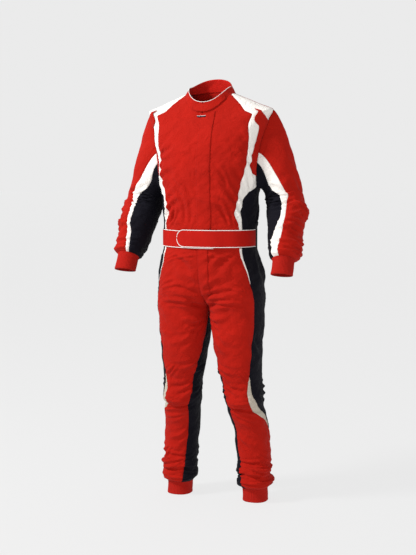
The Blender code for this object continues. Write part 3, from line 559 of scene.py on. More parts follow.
TORSO_DEGREE, LEG_DEGREE, SLEEVE_DEGREE = 0.0027, 0.0015, 0.00115  # the cloth's width for each degree
CREASE_DEPTH = 2.3
STEEPEST = 1.35  # a crease's depth is at most this many times its width
CREASE_STARTS, CREASE_WIDENS = 0.6, 0.5  # shares of its width
DIP, DIP_AT = 0.4, 1.7  # the trough beside each ridge
SLEEVE_DEEPER = 1.25
COMPANIONS = ((0, 1, 0), (2.5, 0.55, 0.17), (-2.9, 0.42, -0.13))  # widths beside it, depth share, slid along
TORSO_RIPPLES, LEG_RIPPLES, SLEEVE_RIPPLES, COLLAR_RIPPLES = 1.4, 1.5, 1.3, 0.7
SLEEVE_GATHERS = 0.9
MOST_GATHERED = 1.1
FINE_MEAN, FINE_GAIN = 0.62, 1.9  # the crumples' level and strength
LEG_TURN, SLEEVE_TURN = 8.0, -10.0  # the right side's creases turn by this, so that the two sides differ
LEG_WANDER, SLEEVE_WANDER = 0.007, 0.006  # and they lie up to this much higher or lower
# The cloth lies flat near its seams. Its creases come in over these heights, or this far from the seam.
BELT_FADE, NECK_FADE, ARMHOLE_FADE = (0.958, 0.985), (1.300, 1.345), 9.0
LEG_BELT_FADE, MIDDLE_FADE = (0.872, 0.902), 0.03
CAP_FADE, CUFF_FADE = (0.045, 0.095), 0.012
PAST_ARMPIT, PAST_TIP = 0.02, 0.004  # how far past the armhole's ends its fade reaches


def ease(x, start, end):
    """0 before start, 1 after end, and smooth between."""
    t = np.clip((x - start) / (end - start), 0, 1)
    return t * t * (3 - 2 * t)


def creases(table, angle, height, per_degree):
    """How far creases push the cloth out. Each fades to its ends, widens, and dips beside its ridge."""
    out = np.zeros(np.broadcast(angle, height).shape)
    for start, low, end, high, width, depth, bow in table.rows:
        u, v = ((angle - start + 180) % 360 - 180) * per_degree, height - low
        run, climb = (end - start) * per_degree, high - low
        length = np.hypot(run, climb)
        size = np.sign(depth) * min(CREASE_DEPTH * abs(depth), STEEPEST * width)
        along = (u * run + v * climb) / length**2
        across = (u * climb - v * run) / length - 4 * bow * length * along * (1 - along)
        for beside, share, slide in COMPANIONS:
            inside = np.clip(along + slide, 0, 1)
            s = across / (width * (CREASE_STARTS + CREASE_WIDENS * inside)) - beside
            ridge = np.exp(-np.abs(s) ** 1.6) - DIP * np.exp(-((s - DIP_AT) ** 2))
            out += size * share * np.sin(np.pi * inside) ** 0.8 * ridge
    return out


def ripples(points):
    """Slight unevenness all over, never repeating evenly."""
    out = np.zeros(points.shape[:-1])
    for order, x, y, z, warp, size in RIPPLES.rows:
        phase = points @ np.array([x, y, z])
        bend = np.sin(points @ np.array([z, x, y]) * 0.37 + 1.9 * order)
        out += size * np.sin(phase + warp * bend + 2.3 * order)
    return out


def gathers(points, shares=1.0):
    """Fine, sharp-ridged crumples where the cloth is gathered. The waves bend so that they never line up."""
    out, height = 0.0, points[..., 2]
    for order, x, y, z, warp, size in FINE.rows:
        bend = np.sin(points @ np.array([y, z, x]) * 0.21 + 1.3 * order)
        bend = bend + 0.6 * np.sin(points @ np.array([x, -z, y]) * 0.33)
        wave = np.sin(points @ np.array([x, y, z]) * 0.62 + warp * bend + 1.1 * order)
        out = out + size * (FINE_MEAN - np.abs(wave)) * FINE_GAIN
    near = sum(strength * np.exp(-(((height - at) / spread) ** 2)) for at, spread, strength in GATHERS.rows)
    return out * shares * np.minimum(near, MOST_GATHERED)


def mirrored(points, side):
    return points * (side, 1, 1)


def unevenness(points, side, rippled, gathered=1.0):
    """Ripples and gathers, the same on both sides."""
    points = mirrored(points, side)
    return rippled * ripples(points) + gathers(points, gathered)


def torso_relief(side, angle, level, points):
    """The torso's creases fade out at the belt, the neck and the armholes."""
    height = points[..., 2]
    fade = ease(height, *BELT_FADE) * (1 - ease(level, *NECK_FADE))
    q = np.clip((level - ARMPIT_V) / (TIP_V - ARMPIT_V), 0, 1)
    front, back = armhole_angles(q)
    turn = np.mod(angle, 360)
    turn = np.minimum(turn, 360 - turn)
    apart = np.maximum(front - turn, turn - back)
    beside = (level > ARMPIT_V - PAST_ARMPIT) & (level < TIP_V + PAST_TIP)
    near = np.where(beside, ease(apart, 0.0, ARMHOLE_FADE), 1.0)
    soft = creases(TORSO_CREASES, side * angle, height, TORSO_DEGREE)
    return fade * near * (soft + unevenness(points, side, TORSO_RIPPLES))


def leg_relief(side, angle, level, points):
    """The right leg's creases lie at slightly other heights than the left's."""
    height = level + (0.0 if side > 0 else LEG_WANDER * np.sin(21 * level + 1.0))
    fade = (1 - ease(level, *LEG_BELT_FADE)) * ease(level, ANKLE_H, ANKLE_H + CUFF_FADE)
    middle = np.where(level > CROTCH_H - MIDDLE_FADE, ease(np.abs(points[..., 0]), 0.0, MIDDLE_FADE), 1.0)
    soft = creases(LEG_CREASES, angle + (0.0 if side > 0 else LEG_TURN), height, LEG_DEGREE)
    return fade * middle * (soft + unevenness(points, side, LEG_RIPPLES))


def sleeve_relief(side, angle, level, points):
    """The right sleeve's creases lie at slightly other heights than the left's."""
    height = level + (0.0 if side > 0 else SLEEVE_WANDER * np.sin(30 * level))
    fade = (1 - ease(level - ARM_TOP_H, *CAP_FADE)) * ease(level, WRIST_H, WRIST_H + CUFF_FADE)
    soft = creases(SLEEVE_CREASES, angle + (0.0 if side > 0 else SLEEVE_TURN), height, SLEEVE_DEGREE)
    return fade * (SLEEVE_DEEPER * soft + unevenness(points, side, SLEEVE_RIPPLES, SLEEVE_GATHERS))


def collar_relief(_side, _angle, level, points):
    return COLLAR_RIPPLES * ease(level, 0.0, 0.4) * ripples(points * 1.4)


STEP = 0.0040  # the side of a cell of the cloth's mesh
EDGE_COLUMNS = np.array([0.0013, 0.0032, 0.0056])  # narrow columns along a seam,
EDGE_SHARES = [[0.04, 0.10, 0.17]]  # at most at these shares of the width
STITCH_COLUMN = 3
TUCK, TUCK_WIDTH = 0.0012, 0.0028  # a seam pulls its edges in
PUCKER, PUCKER_PITCH, PUCKER_WIDTH = 0.00035, 0.013, 0.012
stitch_lines = []
trims = {}


def even(count):
    return np.linspace(0, 1, count + 1)


def level_edge(into, row):
    """Turns the wall level along a row, so that its end face is flat."""
    into[row, :, 2] = 0
    into[row] = unit(into[row])


def shift(surface, angle, level, distance):
    """A seam's angles, row by row, moved sideways along their rings by a distance."""
    around = surface(angle + PROBE_ANGLE, level) - surface(angle - PROBE_ANGLE, level)
    return angle + distance * 2 * PROBE_ANGLE / np.linalg.norm(around, axis=-1)


def laid_out(surface, rows, angles):
    """Each angle of each row: its level, its point on the surface and its direction into the cloth."""
    levels = np.broadcast_to(rows[:, None], angles.shape)
    return levels, surface(angles, levels), inward(surface, angles, levels)


def both_faces(outer, into, wall, side):
    """The points of a wall's outer grid, then of its inner grid."""
    faces = np.stack([outer, outer + wall * into])
    return mirrored(faces, side).reshape(-1, 3)


def spread(surface, rows, low, high, step=STEP):
    """Angles across each row from low to high, with narrow columns along both edges."""
    probe = low[:, None] + (high - low)[:, None] * even(12)
    line = surface(probe, np.broadcast_to(rows[:, None], probe.shape))
    width = np.linalg.norm(np.diff(line, axis=1), axis=-1).sum(axis=1)
    count = max(4, int(np.ceil(width.max() / step)))
    near = np.minimum(EDGE_COLUMNS / width[:, None], EDGE_SHARES)
    first = near[:, -1:]
    middle = first + (1 - 2 * first) * even(count)[None, 1:-1]
    ends = np.zeros((len(rows), 1))
    shares = np.concatenate([ends, near, middle, 1 - near[:, ::-1], ends + 1], axis=1)
    return low[:, None] + (high - low)[:, None] * shares


def run_across(outer):
    """Distance along each row from its first point, and the row's length."""
    steps = np.linalg.norm(np.diff(outer, axis=1), axis=-1)
    run = np.concatenate([np.zeros((len(outer), 1)), np.cumsum(steps, axis=1)], axis=1)
    return run, run[:, -1:]


def pucker(height):
    """The small waves along a seam, -1 to 1, at an uneven pitch."""
    return np.sin(2 * np.pi * height / PUCKER_PITCH + 2 * np.sin(43 * height))


def crumple(outer, into, relief, side, angles, levels, tucked=(True, True)):
    """Moves the cloth by its creases, and in and out along its sewn edges."""
    run, width = run_across(outer)
    out = relief(side, angles, levels, outer)
    for own, apart in zip(tucked, (run, width - run)):
        if own:
            out = out - TUCK * np.exp(-((apart / TUCK_WIDTH) ** 2))
            out = out + PUCKER * pucker(outer[..., 2]) * np.exp(-((apart / PUCKER_WIDTH) ** 2))
    return outer - out[..., None] * into


def wall_faces(rows, columns):
    """The quads of a wall whose outer grid comes first and its inner grid next."""
    count = rows * columns
    at = np.arange(count).reshape(rows, columns)
    grid = np.stack([at[:-1, :-1], at[:-1, 1:], at[1:, 1:], at[1:, :-1]], axis=-1).reshape(-1, 4)
    rim = np.concatenate([at[0, :-1], at[:-1, -1], at[-1, :0:-1], at[:0:-1, 0]])
    after = np.roll(rim, -1)
    edge = np.stack([after, rim, rim + count, after + count], axis=-1)
    return np.concatenate([grid, grid[:, ::-1] + count, edge])


def place(mesh, look):
    """Puts a finished mesh on the suit as a piece of its own."""
    mesh.materials.append(look)
    mesh.shade_smooth()
    made = bpy.data.objects.new(mesh.name, mesh)
    bpy.context.scene.collection.objects.link(made)
    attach(made, "root")
    return made


def add_mesh(name, points, faces, look, flat=None):
    """One named piece. flat gives each point its place on the cloth as it was cut, for the weave."""
    corners = points[faces[:, :3]]
    if (np.cross(corners[:, 0], corners[:, 1]) * corners[:, 2]).sum() < 0:
        faces = faces[:, ::-1]
    mesh = bpy.data.meshes.new(name)
    mesh.from_pydata((points - (0, 0, SHOULDER_H)).tolist(), [], faces.tolist())
    if flat is not None:
        corner_points = np.empty(len(mesh.loops), dtype=np.int32)
        mesh.loops.foreach_get("vertex_index", corner_points)
        places = flat[corner_points].ravel().astype(np.float32)
        mesh.uv_layers.new(name="cloth").data.foreach_set("uv", places)
    return place(mesh, look)


def stands_for(node):
    """Hides the solid that a piece of cloth stands for."""
    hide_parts(node)


def shell(node, outer, into, look, side=1, wall=WALL, lining=None):
    """A piece of cloth as a thin closed wall that stands for its solid."""
    run, width = run_across(outer)
    rise = np.linalg.norm(np.diff(outer, axis=0), axis=-1)
    rise = np.concatenate([np.zeros((1, outer.shape[1])), np.cumsum(rise, axis=0)])
    flat = np.stack([run - width / 2, rise], axis=-1).reshape(-1, 2)
    points, faces = both_faces(outer, into, wall, side), wall_faces(*outer.shape[:2])
    made = add_mesh("cloth_" + node, points, faces, look, np.concatenate([flat, flat]))
    if lining:
        made.data.materials.append(lining)
        inner = (outer.shape[0] - 1) * (outer.shape[1] - 1)
        look_of = np.zeros(len(made.data.polygons), dtype=np.int32)
        look_of[inner: 2 * inner] = 1
        made.data.polygons.foreach_set("material_index", look_of)
    stands_for(node)


def stitch(outer, into, columns, color, side=1, rows=slice(None)):
    """Remembers a stitched line along columns of a panel."""
    for column in columns:
        stitch_lines.append((color, mirrored(outer[rows, column], side), mirrored(into[rows, column], side)))


def sew(color, name, look, dash=0.0030, pitch=0.0043, half=0.00032, lift=0.00038):
    """All the stitches of one colour as one piece of small raised dashes."""
    starts, ends, ups = [], [], []
    for _, line, into in (own for own in stitch_lines if own[0] == color):
        run = np.concatenate([[0], np.cumsum(np.linalg.norm(np.diff(line, axis=0), axis=-1))])
        at = np.arange(pitch, run[-1] - pitch, pitch)
        for store, places in ((starts, at), (ends, at + dash)):
            store.append(np.stack([np.interp(places, run, line[:, k]) for k in range(3)], axis=-1))
        ups.append(-np.stack([np.interp(at, run, into[:, k]) for k in range(3)], axis=-1))
    start, end, up = np.concatenate(starts), np.concatenate(ends), unit(np.concatenate(ups))
    across = unit(np.cross(end - start, up))
    rings = []
    for share, size in ((0.0, 0.45), (0.25, 1.0), (0.75, 1.0), (1.0, 0.45)):
        middle = start + share * (end - start)
        for out, high in ((-1, 0.0), (0, 1.0), (1, 0.0), (0, -0.6)):
            rings.append(middle + size * (out * half * across + high * lift * up))
    points = np.stack(rings, axis=1).reshape(-1, 3)
    ring = np.array([[k, (k + 1) % 4, 4 + (k + 1) % 4, 4 + k] for k in range(4)])
    one = np.concatenate([ring, ring + 4, ring + 8, [[3, 2, 1, 0], [12, 13, 14, 15]]])
    faces = (one[None] + 16 * np.arange(len(start))[:, None, None]).reshape(-1, 4)
    return add_mesh(name, points, faces, look)


def cord_along(name, path, radius, look, sides=10):
    """A soft round trim along a path, with closed, rounded ends."""
    ahead = unit(np.gradient(path, axis=0))
    across = unit(np.cross(ahead, [0.0, 0.0, 1.0]))
    up = np.cross(across, ahead)
    share = np.minimum(np.arange(len(path)), np.arange(len(path))[::-1]) / 2.0
    size = radius * np.sqrt(np.clip(1 - (1 - np.clip(share, 0.08, 1)) ** 2, 0, 1))
    turn = np.arange(sides) * 360 / sides
    ring = across[:, None] * cosd(turn)[:, None] + up[:, None] * sind(turn)[:, None]
    points = path[:, None] + size[:, None, None] * ring
    at = np.arange(len(path) * sides).reshape(len(path), sides)
    beside = np.roll(at, -1, axis=1)
    tube = np.stack([at[:-1], beside[:-1], beside[1:], at[1:]], axis=-1).reshape(-1, 4)
    first, last = at.size, at.size + 1
    caps = [(first, beside[0, k], at[0, k]) for k in range(sides)]
    caps += [(last, at[-1, k], beside[-1, k]) for k in range(sides)]
    mesh = bpy.data.meshes.new(name)
    mesh_points = np.concatenate([points.reshape(-1, 3), path[:1], path[-1:]])
    mesh.from_pydata((mesh_points - (0, 0, SHOULDER_H)).tolist(), [], tube.tolist() + caps)
    piece = place(mesh, look)
    return piece


def linear(red, green, blue):
    """A colour read off a screen, as the shader needs it."""
    share = np.array([red, green, blue]) / 255
    return np.where(share <= 0.04045, share / 12.92, ((share + 0.055) / 1.055) ** 2.4)


def add_node(tree, kind, **inputs):
    made = tree.nodes.new(kind)
    for name, value in inputs.items():
        made.inputs[name.replace("_", " ")].default_value = value
    return made


def bump(tree, height, before, strength, distance):
    """One more layer of relief on the shader's normal."""
    made = add_node(tree, "ShaderNodeBump", Strength=strength, Distance=distance)
    tree.links.new(height, made.inputs["Height"])
    if before is not None:
        tree.links.new(before, made.inputs["Normal"])
    return made.outputs["Normal"]


def cloth(name, color, roughness=0.82, sheen=0.02, threads=(900.0, 560.0), creasing=0.55, variation=0.09,
          on_cloth=True):
    """Woven cloth: warp and twill threads, slight creasing and uneven dye, all from its nodes."""
    made = bpy.data.materials.new(name)
    made.use_nodes = True
    tree = made.node_tree
    shader = tree.nodes["Principled BSDF"]
    shader.inputs["Roughness"].default_value = roughness
    shader.inputs["Sheen Weight"].default_value = sheen
    shader.inputs["Sheen Roughness"].default_value = 0.5
    shader.inputs["Specular IOR Level"].default_value = 0.08
    place = tree.nodes.new("ShaderNodeTexCoord")
    flat, solid = place.outputs["UV" if on_cloth else "Object"], place.outputs["Object"]
    dye = add_node(tree, "ShaderNodeTexNoise", Scale=11.0, Detail=6.0, Roughness=0.62, Distortion=0.4)
    tree.links.new(solid, dye.inputs["Vector"])
    ramp = tree.nodes.new("ShaderNodeValToRGB")
    stops = ramp.color_ramp.elements
    stops[0].position, stops[1].position = 0.30, 0.72
    stops[0].color = (*np.clip(color * (1 - variation), 0, 1), 1.0)
    stops[1].color = (*np.clip(color * (1 + variation), 0, 1), 1.0)
    tree.links.new(dye.outputs["Fac"], ramp.inputs["Fac"])
    tree.links.new(ramp.outputs["Color"], shader.inputs["Base Color"])
    crease = add_node(tree, "ShaderNodeTexNoise", Scale=26.0, Detail=3.0, Roughness=0.5, Distortion=1.2)
    twill = add_node(tree, "ShaderNodeTexWave", Scale=threads[1], Distortion=0.6, Detail=1.0)
    twill.bands_direction = "DIAGONAL"
    warp = add_node(tree, "ShaderNodeTexWave", Scale=threads[0], Distortion=0.4, Detail=1.0)
    fuzz = add_node(tree, "ShaderNodeTexNoise", Scale=1400.0, Detail=2.0)
    normal = None
    for layer, mapped, strength, distance in ((crease, solid, creasing, 0.010), (twill, flat, 0.22, 0.0004),
                                              (warp, flat, 0.12, 0.0003), (fuzz, solid, 0.10, 0.0004)):
        tree.links.new(mapped, layer.inputs["Vector"])
        normal = bump(tree, layer.outputs["Fac"], normal, strength, distance)
    tree.links.new(normal, shader.inputs["Normal"])
    return made


bpy.context.scene.view_settings.view_transform = "Standard"

RED = cloth("red_cloth", linear(171, 24, 12))
LEG_RED = cloth("leg_red_cloth", linear(171, 24, 12))
WHITE = cloth("white_cloth", linear(242, 237, 231), variation=0.03)
NAVY = cloth("navy_cloth", linear(17, 16, 24), sheen=0.02, variation=0.12)
CREAM = cloth("cream_cloth", linear(190, 180, 165), variation=0.05)
BELT = cloth("belt_webbing", linear(178, 22, 13), roughness=0.75, threads=(420.0, 300.0), creasing=0.12)
KNIT = cloth("red_knit", linear(168, 26, 17), roughness=0.9, sheen=0.05, threads=(400.0, 330.0),
             creasing=0.15)
LINING = cloth("inner_face", linear(196, 30, 22), roughness=0.85, creasing=0.2)
PIPING = cloth("white_piping", linear(240, 238, 234), roughness=0.6, variation=0.02, on_cloth=False,
               creasing=0.1)
THREADS = {
    "red": cloth("red_thread", linear(150, 26, 22), roughness=0.6, on_cloth=False),
    "navy": cloth("navy_thread", linear(46, 45, 58), roughness=0.6, on_cloth=False),
}

UNDER_ARMPIT, OVER_TIP = 1.0975, 1.3356  # the torso's rows next to the armhole's own
TORSO_LOWER = np.linspace(WAIST_H + SEAM_GAP / 2, UNDER_ARMPIT, 44)
TORSO_UPPER = np.linspace(OVER_TIP, NECK_V, 46)
TORSO_ROWS = np.concatenate([TORSO_LOWER, armhole_level(ARMHOLE_Q), TORSO_UPPER])
ARMHOLE_FIRST, ARMHOLE_LAST = len(TORSO_LOWER), len(TORSO_LOWER) + len(ARMHOLE_Q) - 1
YOKE_SEAM = 90 + ARMHOLE_LEAN
ARMPIT_ANGLES = (84.0, 96.0)  # the side panel's top edge
CAP_EDGE = 0.97  # the share of the cap where the sleeve's direction at the armhole is read


def shared_directions():
    """The bisectors of the torso's and the sleeve's inward directions along the armhole."""
    own = inward(torso, CORNER_ANGLE, CORNER_LEVEL)
    near = np.full_like(CORNER_TURN, ARM_TOP_H + CAP_EDGE * CAP_SPAN)
    return unit(own + inward(sleeve, CORNER_TURN, near))


SHARED = shared_directions()


def side_edges(rows):
    """The torso's side openings, row by row: where the front half ends and the back half starts."""
    q = (rows - ARMPIT_V) / (TIP_V - ARMPIT_V)
    front, back = armhole_angles(np.clip(q, 0, 1))
    seam = TORSO_SEAMS.read("band_side", rows)
    lower, upper = rows < ARMPIT_V - 1e-9, rows > TIP_V + 1e-9
    front = np.where(lower, seam, np.where(upper, YOKE_SEAM, front))
    back = np.where(lower, 180 - seam, np.where(upper, YOKE_SEAM, back))
    half = np.where(lower | upper, SEAM_GAP / 2, 0.0)
    return shift(torso, front, rows, -half), shift(torso, back, rows, half)


def torso_shell(node, look, rows, angles, side=1, turn=None, column=-1, tucked=(True, True), sewn=()):
    """A torso piece. turn is the sleeve's angle along the armhole, which the piece's column runs along."""
    levels, outer, into = laid_out(torso, rows, angles)
    level_edge(into, 0)
    if rows[-1] > NECK_V - 1e-9:
        into[-1] = unit(into[-1] + inward(collar, angles[-1], np.zeros(angles.shape[1])))
    if turn is not None:
        for row in range(ARMHOLE_FIRST, ARMHOLE_LAST + 1):
            near = SHARED[int(np.argmin(np.abs(CORNER_TURN - turn[row - ARMHOLE_FIRST])))]
            into[row, column] = near
            if node == "back":
                into[row, -1] = mirrored(near, -1)
    outer = crumple(outer, into, torso_relief, side, angles, levels, tucked)
    if not tucked[0]:
        outer[:, 0, 0] = SEAM_GAP / 2
    if sewn:
        stitch(outer, into, sewn[1:], sewn[0], side, slice(8, None))
    shell(node, outer, into, look, side, lining=LINING)


def build_torso():
    """Two fronts, two yoke bands, two side panels and the back."""
    rows = TORSO_ROWS
    seam = TORSO_SEAMS.read("front_band", rows)
    middle = np.degrees(SEAM_GAP / 2 / TORSO.read("half_w", rows))
    split = shift(torso, seam, rows, -SEAM_GAP / 2)
    split_out = shift(torso, seam, rows, SEAM_GAP / 2)
    front_edge, back_edge = side_edges(rows)
    rise = ARMHOLE_TURN * (1 - ARMHOLE_Q)
    fronts, bands = spread(torso, rows, middle, split), spread(torso, rows, split_out, front_edge)
    low = rows[: ARMHOLE_FIRST + 1]
    seam_low = TORSO_SEAMS.read("band_side", low)
    start = shift(torso, seam_low, low, SEAM_GAP / 2)
    end = shift(torso, 180 - seam_low, low, -SEAM_GAP / 2)
    start[-1], end[-1] = ARMPIT_ANGLES
    sides = spread(torso, low, start, end)
    for side, hand in ((1, "_left"), (-1, "_right")):
        torso_shell("front" + hand, RED, rows, fronts, side, tucked=(False, True),
                    sewn=("red", -4))
        torso_shell("yoke_band" + hand, WHITE, rows, bands, side, 90 - rise)
        torso_shell("side" + hand, NAVY, low, sides, side, sewn=("navy", 3, -4))
    back = spread(torso, rows, back_edge, 360 - back_edge)
    torso_shell("back", RED, rows, back, 1, 90 + rise, 0, sewn=("red", 3, -4))


def overlay(node, surface, relief, rows, angles, side=1, lift=LIFT):
    """A piece of red cloth laid on another, following its creases."""
    levels, outer, into = laid_out(surface, rows, angles)
    outer = outer - (relief(side, angles, levels, outer) + lift + WALL)[..., None] * into
    stitch(outer, into, (STITCH_COLUMN, -1 - STITCH_COLUMN), "red", side)
    shell(node, outer, into, RED, side)
    return outer, into


def build_strips():
    """The pointed red strip beside each armhole, laid on the yoke band."""
    q = np.linspace(STRIP.rows[0, 0], STRIP.rows[-1, 0], 72)
    rows = armhole_level(q)
    edge = armhole_angles(np.minimum(q, 1))[0]
    angles = spread(torso, rows, edge - STRIP.read("inner", q), edge - STRIP.read("outer", q))
    lift = LIFT + STRIP.read("rise", q)[:, None]
    for side, hand in ((1, "_left"), (-1, "_right")):
        overlay("strip" + hand, torso, torso_relief, rows, angles, side, lift)


COLLAR_ROWS, COLLAR_COLUMNS, PIPING_POINTS = 14, 170, 110


def build_collar():
    """The stand collar with white piping on its front rim, and the tab across it."""
    rows = np.linspace(0, 1, COLLAR_ROWS)
    around = np.linspace(COLLAR_SPLIT, 360 - COLLAR_SPLIT, COLLAR_COLUMNS)
    angles = np.broadcast_to(around, (len(rows), len(around)))
    levels, outer, into = laid_out(collar, rows, angles)
    into[0] = unit(into[0] + inward(torso, around, np.full(len(around), NECK_V)))
    up = unit(collar(angles[:1], levels[:1] + 0.02) - collar(angles[:1], levels[:1]))
    outer = outer - collar_relief(1, angles, levels, outer)[..., None] * into
    outer[0] -= NECK_LAP * up[0]
    stitch(outer.swapaxes(0, 1), into.swapaxes(0, 1), (-3,), "red")
    shell("collar", outer, into, RED, wall=RIB_WALL, lining=LINING)
    turn = np.linspace(*COLLAR_PIPING, PIPING_POINTS)
    top = np.ones_like(turn)
    rim = collar(turn, top) + WALL * 0.4 * inward(collar, turn, top) + (0, 0, 0.0008)
    trims["collar"] = cord_along("collar_piping", rim, 0.0010, PIPING)
    rows = np.linspace(*TAB_RISE, COLLAR_ROWS)
    angles = spread(collar, rows, *(np.full(COLLAR_ROWS, edge) for edge in TAB_ANGLES))
    outer, into = overlay("collar_tab", collar, collar_relief, rows, angles, lift=TAB_LIFT)
    stitch(outer.swapaxes(0, 1), into.swapaxes(0, 1), (1, -2), "red")


def signed_power(share):
    return np.sign(share) * np.abs(share) ** (TORSO_POWER / 2)


PLACKET_COLUMNS = np.array([0.0, 0.03, 0.07, 0.12, 0.2, 0.3, 0.4, 0.5, 0.6, 0.7, 0.8, 0.88, 0.93, 0.97, 1.0])
PLACKET_PUCKER, PLACKET_GROOVE = 0.0006, 0.0006
THROAT_X = (-0.019, 0.015)  # the painted shadow under the collar tab at the top of the opening, a dark cord, and its white edge


def on_front(surface, relief, rows, half_w, centre):
    """Points and directions across the placket. Right of the middle they follow the left half's form."""
    right, left = PLACKET.read("right", rows), PLACKET.read("left", rows)
    x = right[:, None] + (left - right)[:, None] * PLACKET_COLUMNS
    angles = np.degrees(np.arcsin(signed_power((np.abs(x) - centre[:, None]) / half_w[:, None])))
    levels, outer, into = laid_out(surface, rows, angles)
    outer[..., 0] = x
    into[..., 0] = np.where(x < 0.005, 0, into[..., 0])
    into = unit(into)
    return outer - relief(1, angles, levels, outer)[..., None] * into, into


def build_placket():
    """One placket over the closed front edges, from the neck under the belt to the crotch."""
    below = np.linspace(PLACKET.rows[0, 0], WAIST_H - 0.0002, 42)
    above = np.linspace(WAIST_H + 0.003, PLACKET.rows[-1, 0], 86)
    parts = [on_front(leg, leg_relief, below, LEG.read("half_w", below), LEG.read("x", below)),
             on_front(torso, torso_relief, above, TORSO.read("half_w", above), 0 * above)]
    outer, into = (np.concatenate(grids) for grids in zip(*parts))
    groove, bevel = np.zeros(len(PLACKET_COLUMNS)), np.ones(len(PLACKET_COLUMNS))
    groove[[2, 3, -4, -3]] = PLACKET_GROOVE
    bevel[:3], bevel[-3:] = (0.45, 0.78, 0.95), (0.95, 0.78, 0.45)
    wave = PLACKET_PUCKER * pucker(outer[..., 2])
    stands = (PLACKET_LIFT + WALL) * bevel - groove + wave * np.linspace(0, 1, len(bevel)) ** 2
    outer = outer - stands[..., None] * into
    stitch(outer, into, (2, -3), "red")
    shell("placket", outer, into, RED)


def build_throat():
    """A dark cord painted as the shadow under the collar tab's edge, and its white edge, low on the front and
    rising on to the placket.
    """
    across = np.linspace(*THROAT_X, 24)
    stands = smooth(across, [-0.007, 0.0], [0.0004, PLACKET_LIFT + WALL])
    trims["placket"] = []
    # The second cord is a painted shadow: dark navy thread where the collar tab's lower edge casts shade, not
    # a real slit.
    for name, level, radius, look, slot in (("throat_edge", 1.3520, 0.0008, PIPING, "white_cloth"),
                                            ("throat_slit", 1.3493, 0.0022, THREADS["navy"], "navy_cloth")):
        levels = np.full(24, level)
        angles = np.degrees(np.arcsin(signed_power(across / TORSO.read("half_w", levels))))
        path = torso(angles, levels) - (stands + radius * 0.3)[:, None] * inward(torso, angles, levels)
        trims["placket"].append(cord_along(name, path, radius, look))


BELT_PIPING = 0.0012
STRAP_UNEVEN, STRAP_CROWN = 0.0004, 0.0005


def belt_surface(angle, height):
    """The waist's ring, upright."""
    x, y = superellipse(angle, BELT_HALF_W, BELT_FRONT_D, BELT_BACK_D, TORSO_POWER)
    return np.stack([x, y, height + 0 * x], axis=-1)


def over_placket(angles):
    """How far the belt rises to pass over the placket."""
    return STRAP_RISE * (smooth(angles, BELT_UP, (0, 1)) - smooth(angles, BELT_DOWN, (0, 1)))


def strap(node, angles, table, share, apart, ends):
    """One strap with its stitching, and white piping along its edges."""
    low, high = table.read("low", angles), table.read("high", angles)
    middle, half = (low + high) / 2, (high - low) / 2 * share
    half_across = np.array([0.2, 0.45, 0.7, 0.86, 0.9, 0.96, 1.0])
    across = np.concatenate([-half_across[::-1], [0.0], half_across])
    heights = middle[None, :] + across[:, None] * half[None, :]
    spread_out = np.broadcast_to(angles, heights.shape)
    into = inward(belt_surface, spread_out, heights)
    uneven = STRAP_UNEVEN * np.sin(angles / 6.1 + 2 * np.sin(angles / 17))
    crown = STRAP_CROWN * (1 - across[:, None] ** 4) + uneven
    outer = belt_surface(spread_out, heights) - (LIFT + WALL + apart + crown)[..., None] * into
    stitch(outer.swapaxes(0, 1), into.swapaxes(0, 1), (2, -3), "red")
    shell(node, outer, into, BELT)
    rim = outer - 0.0003 * into
    paths = [np.concatenate([rim[0, ::-1], rim[-1]])] if ends else [rim[0], rim[-1]]
    trims[node] = [cord_along(f"{node}_piping_{k}", path, BELT_PIPING, PIPING)
                   for k, path in enumerate(paths)]


def build_belt():
    """An under-strap from the right side and an over-strap from the left, with a round end."""
    angles = np.linspace(-88, 17, 74)
    strap("belt_right", angles, UNDER_STRAP, np.ones_like(angles), over_placket(angles), False)
    turn = np.linspace(8, 90, 14)
    ends = OVER_STRAP.rows[0, 0] + STRAP_ROUND * (1 - cosd(turn))
    angles = np.concatenate([ends, np.linspace(ends[-1] + 1.5, 88, 70)])
    share = np.concatenate([sind(turn), np.ones(70)])
    apart = 1 - smooth(angles, BELT_MEETS, (0, 1))
    strap("belt_left", angles, OVER_STRAP, share, apart * STRAP_STANDS_OFF + over_placket(angles), True)


SLEEVE_ROWS = np.concatenate(
    [np.linspace(ARM_TOP_H + CAP_SPAN, ARM_TOP_H, 30)[:-1], np.linspace(ARM_TOP_H, WRIST_H, 70)]
)
WRIST_RIBS, ANKLE_RIBS = 54, 58
RIB_HIGH, RIB_SUNK = 0.0011, 0.0006  # a rib's height, and how far its foot lies inside the cuff's form
CUFF_LOOSE, CUFF_HEM = 0.0007, 0.0008  # the cuff's slow waves, and its hem's thickness
SEAM_TURN = {1: -12.0, -1: 9.0}  # the lower arms turn a little, each its own way


def sleeve_seams(rows, side):
    """The sleeve's three seams, row by row, read at the seam's own height on the cloth."""
    seams = []
    for name, share in (("red_white", 0.0), ("white_navy", 1.0)):
        angle = np.zeros_like(rows)
        for _ in range(6):
            height = sleeve(angle, rows)[:, 2]
            turn = share * SEAM_TURN[side] * (1 - ease(height, 0.93, 1.04))
            angle = SLEEVE_SEAMS.read(name, height) + turn
        seams.append(angle)
    return [*seams, np.full_like(rows, SLEEVE_BACK_SEAM)]


def sleeve_shell(node, low, high, look, side, sewn=()):
    """One piece of the sleeve, from the armhole to the cuff."""
    rows = SLEEVE_ROWS
    low, high = shift(sleeve, low, rows, SEAM_GAP / 2), shift(sleeve, high, rows, -SEAM_GAP / 2)
    angles = spread(sleeve, rows, low, high)
    levels, outer, into = laid_out(sleeve, rows, angles)
    into[0] = unit(on_corners(SHARED, angles[0]))
    up = arm_frame(levels[-1])[1]
    into[-1] = unit(into[-1] - (into[-1] * up).sum(-1, keepdims=True) * up)
    outer = crumple(outer, into, sleeve_relief, side, angles, levels)
    if sewn:
        stitch(outer, into, sewn[1:], sewn[0], side, slice(3, None))
    shell(node, outer, into, look, side)


